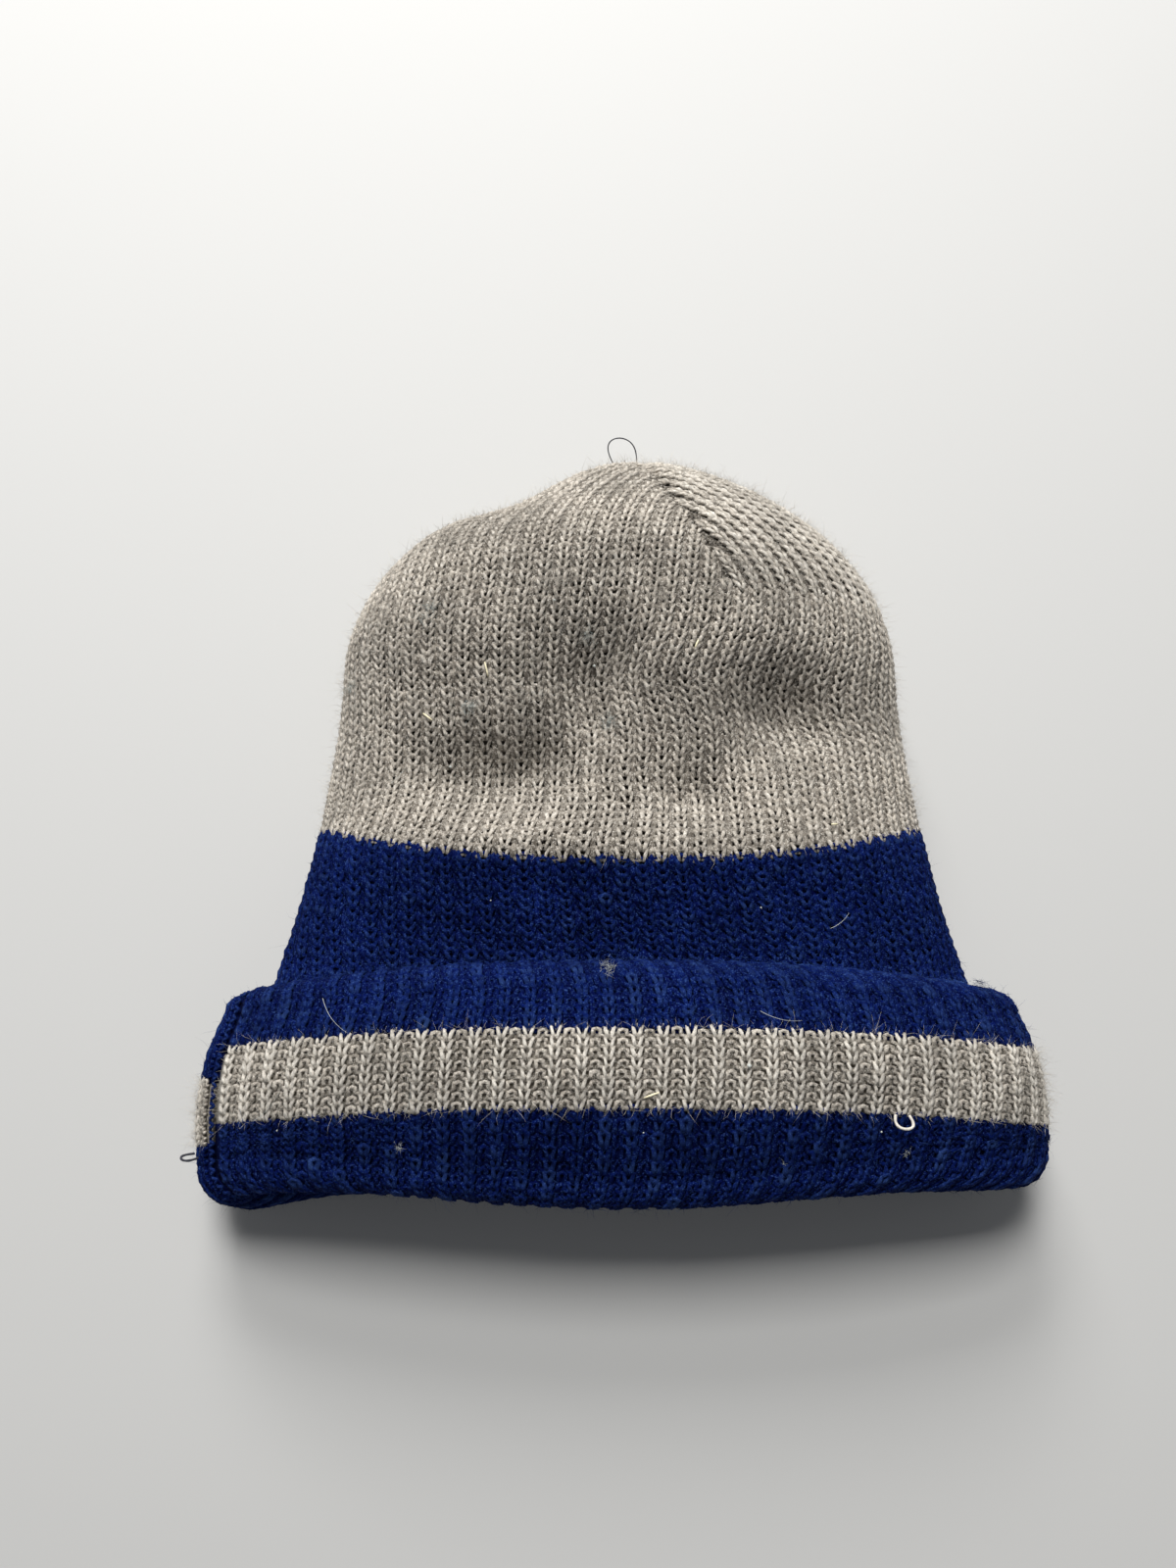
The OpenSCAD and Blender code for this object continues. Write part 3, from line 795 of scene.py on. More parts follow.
class Knitter:
    """Runs yarn through the stitches of a patch, course by course.

    In each stitch the yarn goes once round: across by the stitch's width plus a flare of
    sin 2t, along by minus the reach times cos t, and forward in a knit wale or back in a purl
    wale by 1 - cos 2t.
    """

    def __init__(self, patch: Patch, gauge: Gauge, seed: int) -> None:
        """Keeps the patch, the gauge and a seeded source of small irregularities."""
        self.patch, self.gauge = patch, gauge
        self.rng = np.random.default_rng(seed)

    def _course(self, skin: Skin, r: float, wales: Array) -> None:
        """Adds one course over a run of neighbouring wales."""
        g, p = self.gauge, self.patch
        n = len(wales)
        knit = wales % 2 == 0
        lo = wales // 2 + np.where(knit, 0.0, g.knit_share)
        w = np.where(knit, g.knit_share, 1 - g.knit_share)
        t = np.arange(g.steps) * 2 * np.pi / g.steps
        u = g.unruly
        jx = self.rng.normal(0, 0.022 * u, (n, 1))
        jr = self.rng.normal(0, 0.055 * u, (n, 1))
        jh = self.rng.normal(0, 0.10 * u, (n, 1))
        reach = np.where(knit, g.reach, g.purl_reach)[:, None] \
            * (1 + self.rng.normal(0, 0.05 * u, (n, 1)))
        flare = np.where(knit, g.flare, g.purl_flare)[:, None]
        x = lo[:, None] + w[:, None] * (t / (2 * np.pi) + flare * np.sin(2 * t)) \
            + jx * np.sin(t / 2) ** 2
        rr = r + reach * np.cos(t) + jr * np.sin(t / 2) ** 2
        lift = (1 - np.cos(2 * t))
        h = np.where(knit[:, None], g.throw * lift - 0.15 * np.cos(t), 0.55 - g.purl_throw * lift)
        middle = np.floor(x) + g.knit_share / 2
        h = h + g.rib * np.cos(2 * np.pi * (x - middle)) + g.seat + jh * np.sin(t / 2) ** 2
        x, rr, h = x.ravel(), rr.ravel(), h.ravel()
        v = p.across(x, rr)
        pt, nm = p.place(v, np.clip(rr, p.r0, p.r1), h)
        pt[:, 2] = np.maximum(pt[:, 2], g.radius)
        # random for each stitch: its own shade, used as its share of the painted highlight on the
        # yarn's tops
        tone = np.repeat(self.rng.uniform(g.pale, 1, n), g.steps)
        tone = np.convolve(np.pad(tone, g.steps, mode="edge"),
                           np.ones(g.steps) / g.steps, "same")[g.steps:-g.steps]
        rad = g.radius * (1 + 0.10 * (np.repeat(self.rng.normal(0, 1, n), g.steps)).clip(-2, 2))
        verts, quads, tris = tube(pt, nm, rad)
        k = len(verts) // len(pt)
        uv = np.stack([0.01 + 0.98 * np.clip(v, 0, 1),
                       0.01 + 0.98 * np.clip((rr - p.r0) / (p.r1 - p.r0), 0, 1)], -1)
        skin.add(verts, quads, tris, np.repeat(h, k), np.repeat(tone, k),
                 np.repeat(uv, k, 0), np.repeat(nm, k, 0))

    def knit(self, skin: Skin, r_from: float, r_to: float, x_from: float | None = None,
             x_to: float | None = None) -> None:
        """Knits whole courses from r_from up to r_to, over the repeats x_from to x_to.

        Args:
            skin: The mesh the yarn goes into.
            r_from: First course.
            r_to: Where to stop.
            x_from: First repeat, the patch's edge by default.
            x_to: Last repeat, the patch's edge by default.
        """
        p = self.patch
        x_from = p.x0 if x_from is None else x_from
        x_to = p.x1 if x_to is None else x_to
        for r in np.arange(math.ceil(r_from - 1e-6), math.ceil(r_to - 1e-6)):
            wales = np.arange(int(round(x_from * 2)), int(round(x_to * 2)))
            mid = wales // 2 + np.where(wales % 2 == 0, self.gauge.knit_share / 2,
                                        (1 + self.gauge.knit_share) / 2)
            v = p.across(mid, np.full(len(mid), float(r)))
            inside = (v > 0.004) & (v < 0.996)
            if inside.sum() >= 2:
                self._course(skin, float(r), wales[inside])


class Brusher:
    """Raises loose fibres from yarn already knitted, each a thin tapering closed prism that
    leaves the yarn outward and bends over."""

    def __init__(self, seed: int) -> None:
        """Keeps a seeded source of chance."""
        self.rng = np.random.default_rng(seed)

    def fibres(self, root: Array, out: Array, count: int, length: tuple[float, float],
               radius: float, lie: float = 1.0, tone: tuple[float, float] = (0.3, 1.0)) -> Skin:
        """Fibres: two rings and a point along root + s(direction) + s squared(bend).

        Args:
            root: Places they may start, (n, 3).
            out: Outward direction at each, (n, 3).
            count: How many.
            length: Shortest and longest.
            radius: Radius at the root.
            lie: How flat they lie, 0 upright.
            tone: Darkest and palest shade, drawn at random for each fibre as its share of the
            painted highlight.

        Returns:
            The skin holding them.
        """
        g = self.rng
        pick = g.integers(0, len(root), count)
        p0, n = root[pick], out[pick]
        side = g.normal(0, 1, (count, 3))
        side -= (side * n).sum(1, keepdims=True) * n
        side /= np.linalg.norm(side, axis=1, keepdims=True)
        d = n * g.uniform(0.25, 1.0, (count, 1)) + side * lie * g.uniform(0.3, 1.2, (count, 1))
        d /= np.linalg.norm(d, axis=1, keepdims=True)
        long = (length[0] + (length[1] - length[0]) * g.beta(1.4, 3.0, count))[:, None]
        bend = g.normal(0, 0.55, (count, 3)) - n * 0.35
        s = np.array([0.0, 0.55, 1.0])
        line = p0[:, None] + long[:, None] * (s[None, :, None] * d[:, None]
                                               + (s ** 2)[None, :, None] * bend[:, None] * 0.6)
        line[..., 2] = np.maximum(line[..., 2], 0.15)
        b = np.cross(d, side)
        b /= np.maximum(np.linalg.norm(b, axis=1, keepdims=True), 1e-9)
        c = np.cross(b, d)
        a = 2 * np.pi * np.arange(3) / 3
        ring = np.cos(a)[None, :, None] * b[:, None] + np.sin(a)[None, :, None] * c[:, None]
        rad = radius * np.array([1.0, 0.8])
        body = line[:, :2, None] + ring[:, None] * rad[None, :, None, None]
        v = np.concatenate([body.reshape(count, 6, 3), line[:, 2:3]], 1)
        k = np.arange(3)
        q = np.stack([k, (k + 1) % 3, 3 + (k + 1) % 3, 3 + k], -1)
        t = np.array([[2, 1, 0], [3, 4, 6], [4, 5, 6], [5, 3, 6]])
        base = (np.arange(count) * 7)[:, None, None]
        skin = Skin()
        # each fibre is written as lying high, so it takes its tone's share of the painted highlight
        skin.add(v.reshape(-1, 3), (q[None] + base).reshape(-1, 4), (t[None] + base).reshape(-1, 3),
                 0.6, np.repeat(g.uniform(*tone, count), 7))
        return skin


# ------------------------------------------------------------------ finishes

class Wool(Enum):
    """The yarns the hat is made of, and darker copies of them that are painted shade."""

    TAUPE = "taupe wool"
    NAVY = "navy wool"
    TAUPE_PAINTED_SHADE = "taupe wool in painted shade"
    TAUPE_SOFT_PAINTED_SHADE = "taupe wool behind in soft painted shade"
    NAVY_PAINTED_SHADE = "navy wool in painted shade"
    THREAD = "dark thread"
    LINT = "lint"
    STRAW = "dry straw"


@dataclass(frozen=True)
class WoolFinish:
    """A heathered wool: three shades mixed fibre by fibre, painted shade toward dark deep between
    the stitches, and a painted highlight toward pale on the yarn's tops.
    """

    dark: tuple[float, float, float]
    mid: tuple[float, float, float]
    pale: tuple[float, float, float]
    fleck: float
    sheen: float
    sheen_tint: tuple[float, float, float]
    rough: float = 0.9
    bump: float = 0.45
    gloss: float = 0.12


FINISHES: dict[Wool, WoolFinish] = {
    Wool.TAUPE: WoolFinish((0.074, 0.062, 0.049), (0.425, 0.383, 0.328), (1.0, 0.955, 0.87),
                           0.66, 0.15, (0.95, 0.92, 0.86)),
    Wool.NAVY: WoolFinish((0.0002, 0.0016, 0.034), (0.0014, 0.0082, 0.084),
                          (0.044, 0.094, 0.255), 0.70, 0.0, (0.35, 0.5, 1.0), gloss=0.04),
    # Darker copies of the wools, painted shade: the sheets under the stitches and the plies inside
    # take them.
    Wool.TAUPE_PAINTED_SHADE: WoolFinish((0.050, 0.042, 0.034), (0.13, 0.115, 0.098),
                                (0.32, 0.29, 0.25), 0.4, 0.1, (0.95, 0.9, 0.82)),
    Wool.TAUPE_SOFT_PAINTED_SHADE: WoolFinish((0.160, 0.140, 0.115), (0.40, 0.365, 0.31),
                                 (0.70, 0.66, 0.58), 0.5, 0.1, (0.95, 0.92, 0.86)),
    Wool.NAVY_PAINTED_SHADE: WoolFinish((0.0004, 0.0022, 0.034), (0.0020, 0.0080, 0.070),
                               (0.014, 0.030, 0.14), 0.6, 0.0, (0.35, 0.5, 1.0), gloss=0.04),
    Wool.THREAD: WoolFinish((0.008, 0.009, 0.014), (0.022, 0.024, 0.034), (0.06, 0.06, 0.07),
                            0.3, 0.1, (0.8, 0.8, 0.9)),
    Wool.LINT: WoolFinish((0.16, 0.18, 0.17), (0.42, 0.46, 0.44), (0.75, 0.78, 0.74),
                          0.6, 0.2, (1.0, 1.0, 1.0)),
    Wool.STRAW: WoolFinish((0.34, 0.28, 0.13), (0.78, 0.68, 0.40), (1.0, 0.94, 0.70),
                           0.4, 0.0, (1.0, 1.0, 1.0), rough=0.55, gloss=0.4),
}


class Dyer:
    """Builds the materials, sharing one node group that mixes a heathered wool's shades and paints
    its shade and highlight.
    """

    def __init__(self) -> None:
        """Builds the shared group and an empty list of materials."""
        self.group = self._heather_and_painted_light()
        self.made: dict[Wool, bpy.types.Material] = {}

    @staticmethod
    def _heather_and_painted_light() -> bpy.types.NodeTree:
        """The heather group. Painted shade turns the colour toward Dark with depth in the stitch,
        fine noise drawn along the yarn picks pale fibres, a second noise picks dark ones, a
        painted highlight turns the yarn's tops toward Pale as far as Tone lets it, and a broad
        noise varies the whole."""
        g = bpy.data.node_groups.new("heathered_wool_and_painted_light", "ShaderNodeTree")
        face = g.interface
        for name, kind in (("Dark", "NodeSocketColor"), ("Mid", "NodeSocketColor"),
                           ("Pale", "NodeSocketColor"), ("Fleck", "NodeSocketFloat"),
                           ("Height", "NodeSocketFloat"), ("Tone", "NodeSocketFloat")):
            face.new_socket(name, in_out="INPUT", socket_type=kind)
        face.new_socket("Colour", in_out="OUTPUT", socket_type="NodeSocketColor")
        face.new_socket("Nap", in_out="OUTPUT", socket_type="NodeSocketFloat")
        n, link = g.nodes, g.links.new
        gin, gout = n.new("NodeGroupInput"), n.new("NodeGroupOutput")
        where = n.new("ShaderNodeTexCoord")

        def noise(scale: float, detail: float) -> bpy.types.Node:
            """A noise on Object coordinates."""
            node = n.new("ShaderNodeTexNoise")
            node.inputs["Scale"].default_value = scale
            node.inputs["Detail"].default_value = detail
            link(where.outputs["Object"], node.inputs["Vector"])
            return node

        def span(value: bpy.types.NodeSocket, a: float, b: float, c: float,
                 d: float) -> bpy.types.NodeSocket:
            """Value carried from a..b to c..d, smoothly and clamped."""
            node = n.new("ShaderNodeMapRange")
            node.interpolation_type = "SMOOTHSTEP"
            for socket, number in zip(node.inputs[1:5], (a, b, c, d)):
                socket.default_value = number
            link(value, node.inputs[0])
            return node.outputs[0]

        def times(a: bpy.types.NodeSocket, b: bpy.types.NodeSocket) -> bpy.types.NodeSocket:
            """Product of two values."""
            node = n.new("ShaderNodeMath")
            node.operation = "MULTIPLY"
            link(a, node.inputs[0])
            link(b, node.inputs[1])
            return node.outputs[0]

        def mix(way: str, fac: bpy.types.NodeSocket, a: bpy.types.NodeSocket,
                b: bpy.types.NodeSocket) -> bpy.types.NodeSocket:
            """Two colours mixed by a share."""
            node = n.new("ShaderNodeMix")
            node.data_type, node.blend_type = "RGBA", way
            link(fac, node.inputs[0])
            link(a, node.inputs[6])
            link(b, node.inputs[7])
            return node.outputs[2]

        fine, broad, hair = noise(2600.0, 2.0), noise(55.0, 3.0), noise(900.0, 3.0)
        # painted shade: the colour goes toward Dark where the yarn lies deep in the stitch
        deep = span(gin.outputs["Height"], -1.35, -0.40, 1.0, 0.0)
        colour = mix("MIX", deep, gin.outputs["Mid"], gin.outputs["Dark"])
        speck = times(span(fine.outputs[0], 0.50, 0.72, 0.0, 1.0), gin.outputs["Fleck"])
        colour = mix("MIX", speck, colour, gin.outputs["Pale"])
        shade = times(span(hair.outputs[0], 0.56, 0.38, 0.0, 1.0), gin.outputs["Fleck"])
        colour = mix("MIX", shade, colour, gin.outputs["Dark"])
        # painted highlight: the colour goes toward Pale on the yarn's tops, by the stitch's Tone
        top = times(span(gin.outputs["Height"], -0.6, 0.1, 0.0, 0.55), gin.outputs["Tone"])
        colour = mix("MIX", top, colour, gin.outputs["Pale"])
        wide = n.new("ShaderNodeCombineColor")
        for socket in wide.inputs[:3]:
            link(span(broad.outputs[0], 0.3, 0.7, 0.86, 1.12), socket)
        one = n.new("ShaderNodeMath")
        one.operation = "ADD"
        one.inputs[0].default_value, one.inputs[1].default_value = 1.0, 0.0
        colour = mix("MULTIPLY", one.outputs[0], colour, wide.outputs[0])
        link(colour, gout.inputs["Colour"])
        link(fine.outputs[0], gout.inputs["Nap"])
        return g

    def material(self, wool: Wool) -> bpy.types.Material:
        """The material of a yarn, made once.

        Args:
            wool: Which yarn.

        Returns:
            Its material.
        """
        if wool in self.made:
            return self.made[wool]
        f = FINISHES[wool]
        mat = bpy.data.materials.new(wool.value.replace(" ", "_"))
        mat.use_nodes = True
        nt = mat.node_tree
        bsdf = nt.nodes["Principled BSDF"]
        mixer = nt.nodes.new("ShaderNodeGroup")
        mixer.node_tree = self.group
        for name, value in (("Dark", f.dark), ("Mid", f.mid), ("Pale", f.pale)):
            mixer.inputs[name].default_value = (*value, 1.0)
        mixer.inputs["Fleck"].default_value = f.fleck
        for name in ("Height", "Tone"):
            att = nt.nodes.new("ShaderNodeAttribute")
            att.attribute_name = name.lower()
            nt.links.new(att.outputs["Fac"], mixer.inputs[name])
        bump = nt.nodes.new("ShaderNodeBump")
        bump.inputs["Strength"].default_value = f.bump
        bump.inputs["Distance"].default_value = 0.0003
        nt.links.new(mixer.outputs["Nap"], bump.inputs["Height"])
        nt.links.new(bump.outputs["Normal"], bsdf.inputs["Normal"])
        nt.links.new(mixer.outputs["Colour"], bsdf.inputs["Base Color"])
        bsdf.inputs["Roughness"].default_value = f.rough
        bsdf.inputs["Specular IOR Level"].default_value = f.gloss
        bsdf.inputs["Sheen Weight"].default_value = f.sheen
        bsdf.inputs["Sheen Roughness"].default_value = 0.5
        bsdf.inputs["Sheen Tint"].default_value = (*f.sheen_tint, 1.0)
        self.made[wool] = mat
        return mat


# ------------------------------------------------------------------ the hat's pieces

GORE_REPEATS = (("left", 0, 28), ("right", 28, 49), ("front", 49, 75))
HALVES = ((0, 37), (37, Patch.REPEATS))
DART_OVERLAP = 1.6


class Workshop:
    """What every sub-assembly shares: the form, the course counter and the dyer."""

    def __init__(self) -> None:
        """Sets up the form, counts its courses and prepares the dyes."""
        self.form = HatForm()
        self.courses = Courses(self.form)
        self.dyer = Dyer()
        f, at = self.form, self.courses.at
        self.r_tip = at(f.q_shell(f.crown_y(f.tip_stop)))
        self.r_dart = round(at(f.q_shell(f.dart_end_y)))
        self.r_border = round(at(f.q_shell(f.border_y)))
        self.r_hidden = round(at(f.q_shell(f.crease_y - 16)))
        self.r_fold = round(at(3.0)) - 1
        self.r_stripe = round(at(f.q_cuff(f.stripe_top_y)))
        self.r_lower = round(at(f.q_cuff(f.stripe_bottom_y)))
        self.r_mouth = round(at(6.0))
        self.r_lining = round(at(f.q_lining(-58.0)))
        self.r_edge = self.r_mouth + 7
        self.r_inner = round(at(2.0))
        self.r_lining_dart = round(at(f.q_lining(f.dart_end_y)))
        self.r_end = at(f.q_lining(f.crown_y(f.tip_stop)))
        self.roots: dict[Wool, list[tuple[Array, Array]]] = {}

    def round_patch(self, r0: float, r1: float, **extra: object) -> Patch:
        """A patch all the way round the hat, from side seam to side seam.

        Args:
            r0: Its first course.
            r1: Its last course.
            **extra: Anything else Patch takes.

        Returns:
            The patch.
        """
        seam = self.form.seam_at
        return Patch(self.form, self.courses, r0, r1, 0, Patch.REPEATS, seam,
                     lambda q: seam(q) + 360, **extra)

    def gore_patches(self, r0: float, r1: float, **extra: object) -> dict[str, Patch]:
        """The three gores of a cap, between its darts.

        Args:
            r0: Their first course.
            r1: Their last course.
            **extra: Anything else Patch takes.

        Returns:
            The patches by name.
        """
        f = self.form
        gores = {}
        for i, (name, x0, x1) in enumerate(GORE_REPEATS):
            lo = f.dart_angle + f.gore_angle + f.gore_angle * i
            hi = lo + f.gore_angle
            gores[name] = Patch(f, self.courses, r0, r1, x0, x1,
                                lambda q, a=lo: a + f.twist(q),
                                lambda q, a=hi: a + f.twist(q), **extra)
        return gores

    def finish(self, ob: bpy.types.Object, wool: Wool, slot: str,
               nodes: Sequence[str] = ()) -> bpy.types.Object:
        """Dresses a piece, hangs it on the frame and hides the solids it stands for.

        Args:
            ob: The piece.
            wool: Its yarn.
            slot: Not used.
            nodes: The solids it replaces.

        Returns:
            The same piece.
        """
        ob.data.materials.append(self.dyer.material(wool))
        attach(ob, "root")
        if nodes:
            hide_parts(*nodes)
        return ob

    def keep_roots(self, wool: Wool, skin: Skin, above: float = -0.7) -> None:
        """Keeps the outer points of some yarn, for fibres to grow from."""
        p, n = np.concatenate(skin.verts), np.concatenate(skin.normals)
        keep = (np.concatenate(skin.height) > above) & (p[:, 2] > 1.5)
        self.roots.setdefault(wool, []).append((p[keep], n[keep]))


@dataclass
class ClothPart:
    """One piece of rib: its yarn, and a darker sheet under it that stands for the matted cloth and
    paints the shade seen between the stitches.
    """

    shop: Workshop
    name: str
    patch: Patch
    gauge: Gauge
    wool: Wool
    deep: Wool
    slot: str
    nodes: tuple[str, ...]
    r_from: float
    r_to: float
    seed: int
    held: str = "laid"
    halves: tuple[tuple[float, float], ...] = ()
    backing_from: float | None = None
    backing_to: float | None = None
    backing_nodes: tuple[str, ...] = ()
    depth: float = 2.0

    def build(self) -> None:
        """Knits the yarn and lays the backing behind it."""
        shop, p = self.shop, self.patch
        runs = self.halves or ((p.x0, p.x1),)
        for i, (a, b) in enumerate(runs):
            skin = Skin()
            Knitter(p, self.gauge, self.seed + i).knit(skin, self.r_from, self.r_to, a, b)
            shop.keep_roots(self.wool, skin)
            tail = f"_{i + 1}" if len(runs) > 1 else ""
            ob = skin.build(f"{self.name}_stitches{tail}")
            shop.finish(ob, self.wool, self.slot, self.nodes)
        back = self._painted_shade_backing()
        shop.finish(back, self.deep, self.slot, self.backing_nodes)
        r0 = self.r_from if self.backing_from is None else self.backing_from
        r1 = self.r_to if self.backing_to is None else self.backing_to
        flat, area = flat_size(p, np.linspace(r0, r1, 60), shop.courses.height)

    def _painted_shade_backing(self) -> bpy.types.Object:
        """A closed sheet just under the stitches, in a darker copy of the wool: painted shade
        between them.
        """
        p = self.patch
        r0 = max(self.r_from - 0.5 if self.backing_from is None else self.backing_from, p.r0)
        r1 = min(self.r_to + 0.1 if self.backing_to is None else self.backing_to, p.r1)
        rows = np.linspace(r0, r1, max(int((r1 - r0) * 1.5), 6))
        # its height is written as -1.0, so the material paints it deeper in shade
        skin = cloth_sheet(p, rows, int((p.x1 - p.x0) * 2) + 1,
                           lambda v, r: np.full(v.shape, -self.depth), 2.55, 0.4, -1.0)
        return skin.build(f"{self.name}_painted_shade_backing")


class Crown:
    """The taupe crown: three gores between darts, and the wall below them."""

    def __init__(self, shop: Workshop) -> None:
        """Lays out the patches of the gores and of the wall."""
        self.shop = shop
        start = shop.form.dart_angle + shop.form.gore_angle
        self.gores = shop.gore_patches(shop.r_tip, shop.r_dart + DART_OVERLAP, dart=True,
                                       sewn=shop.r_dart)
        self.shell = shop.round_patch(shop.r_dart - DART_OVERLAP, shop.r_hidden + 2.6,
                                      pins=((28, start + 120), (49, start + 240)))

    def build(self) -> None:
        """Makes the gores, the wall and the gathered tip."""
        s = self.shop
        for i, (name, patch) in enumerate(self.gores.items()):
            gauge = RIDGED_GAUGE if name == "right" else BODY_GAUGE
            ClothPart(s, f"crown_gore_{name}", patch, gauge, Wool.TAUPE, Wool.TAUPE_PAINTED_SHADE,
                      "taupe_knit", (f"crown_gore_{name}",), s.r_tip + 0.6, s.r_dart,
                      11 + i, backing_from=s.r_tip, backing_to=s.r_dart).build()
        ClothPart(s, "crown_wall", self.shell, BODY_GAUGE, Wool.TAUPE, Wool.TAUPE_PAINTED_SHADE,
                  "taupe_knit", ("crown_wall",), s.r_dart, s.r_border, 21,
                  halves=HALVES, backing_from=s.r_dart - 0.3,
                  backing_to=s.r_border).build()
        self._gather()

    def _gather(self) -> None:
        """The drawn-up tip: a spiral of yarn over a small cap, from the last course inward."""
        f, s = self.shop.form, self.shop
        t = np.linspace(0, 1, 150)
        th = 360 * 4.5 * t
        u = f.tip_stop + (1 - f.tip_stop) * t ** 1.3
        wave = 0.35 * np.sin(np.radians(th) * 9)
        path = f.body(th, f.crown_y(u), wave - 0.5) - np.array(f.middle)
        keep = np.concatenate([[True], np.linalg.norm(np.diff(path, axis=0), axis=1) > 0.05])
        path = path[keep]
        skin = Skin()
        v, q, tr = tube(path, np.tile([0.0, 1.0, 0.0], (len(path), 1)), np.full(len(path), 0.55))
        skin.add(v, q, tr, -0.2, 0.6, None, np.tile([0.0, 1.0, 0.0], (len(v), 1)))
        s.keep_roots(Wool.TAUPE, skin)
        # the cap is written as lying deep, so the material paints it in shade under the spiral
        skin.add(*tip_cap(f, -0.6, 1.6), -0.9, 0.4)
        s.finish(skin.build("crown_gather_yarn"), Wool.TAUPE, "taupe_knit", ("crown_gather",))


class Band:
    """The navy band between the crown and the crease, running on out of sight."""

    def __init__(self, shop: Workshop, shell: Patch) -> None:
        """Keeps the shell patch it shares with the crown's wall."""
        self.shop, self.shell = shop, shell
        self.inner = shop.round_patch(shop.r_hidden - 1, shop.r_fold + 1.5)

    def build(self) -> None:
        """Knits the band, its tucked end and the hidden ply it turns back into."""
        s = self.shop
        ClothPart(s, "body_band", self.shell, NAVY_GAUGE, Wool.NAVY, Wool.NAVY_PAINTED_SHADE,
                  "navy_knit", ("body_band",), s.r_border, s.r_hidden, 31,
                  halves=HALVES, backing_from=s.r_border,
                  backing_to=s.r_hidden + 1, depth=1.05).build()
        ReliefPart(s, "body_band_tucked", self.inner, Wool.NAVY_PAINTED_SHADE, "navy_knit",
                   ("body_band",), s.r_hidden, s.r_inner).build()
        ReliefPart(s, "cuff_hidden_ply", self.inner, Wool.NAVY_PAINTED_SHADE, "navy_knit",
                   ("cuff_hidden_ply",), s.r_inner, s.r_fold + 0.5).build()


class TurnUp:
    """The turned-up cuff: top fold, upper band, stripe, lower band, bottom fold, and the
    first courses of the lining."""

    def __init__(self, shop: Workshop) -> None:
        """Lays out one patch from inside the top fold to well inside the mouth."""
        self.shop = shop
        self.patch = shop.round_patch(shop.r_fold - 2, shop.r_lining + 2,
                                      jog=(3.0, shop.r_fold, shop.r_stripe - 1.0,
                                           shop.r_lower + 0.5, shop.r_mouth + 2.0))

    def build(self) -> None:
        """Knits the bands of the cuff in order."""
        s = self.shop
        ClothPart(s, "cuff_upper", self.patch, CUFF_NAVY_GAUGE, Wool.NAVY, Wool.NAVY_PAINTED_SHADE,
                  "navy_knit", ("cuff_upper_band",), s.r_fold, s.r_stripe, 41, "folded",
                  HALVES, depth=1.05).build()
        ClothPart(s, "cuff_stripe", self.patch, CUFF_GAUGE, Wool.TAUPE, Wool.TAUPE_SOFT_PAINTED_SHADE,
                  "taupe_knit", ("cuff_stripe",), s.r_stripe, s.r_lower, 51, "folded",
                  depth=1.3).build()
        ClothPart(s, "cuff_lower", self.patch, CUFF_NAVY_GAUGE, Wool.NAVY, Wool.NAVY_PAINTED_SHADE,
                  "navy_knit", ("cuff_lower_band",), s.r_lower, s.r_mouth, 61, "folded",
                  HALVES, depth=1.05).build()
        ClothPart(s, "lining_band", self.patch, CUFF_NAVY_GAUGE, Wool.NAVY, Wool.NAVY_PAINTED_SHADE,
                  "navy_lining_knit", ("lining_band",), s.r_mouth, s.r_edge, 71, "laid",
                  HALVES, depth=1.05).build()
        ReliefPart(s, "lining_band_inner", self.patch, Wool.NAVY_PAINTED_SHADE, "navy_lining_knit",
                   ("lining_band",), s.r_edge, s.r_lining).build()


@dataclass
class ReliefPart:
    """A ply that is out of sight or deep inside: a closed sheet with its ribs and courses
    raised in it, height = rib cos(2 pi X) + course cos(2 pi R). Its wool is a darker copy,
    painted shade, and its low heights make the material paint its troughs darker still."""

    shop: Workshop
    name: str
    patch: Patch
    wool: Wool
    slot: str
    nodes: tuple[str, ...]
    r_from: float
    r_to: float
    held: str = "laid"

    def _lift(self, v: Array, r: Array) -> Array:
        """Height of the ribs and courses over the cloth."""
        x = self.patch.x0 + v * (self.patch.x1 - self.patch.x0)
        return -0.6 + 0.38 * np.cos(2 * np.pi * (x - 0.25)) + 0.2 * np.cos(2 * np.pi * r)

    def build(self) -> None:
        p = self.patch
        rows = np.append(np.arange(self.r_from, self.r_to - 0.3, 0.5), self.r_to)
        skin = cloth_sheet(p, rows, int((p.x1 - p.x0) * 3) + 1, self._lift, 2.2, 0.5)
        ob = self.shop.finish(skin.build(self.name), self.wool, self.slot, self.nodes)
        flat, area = flat_size(p, rows, self.shop.courses.height)


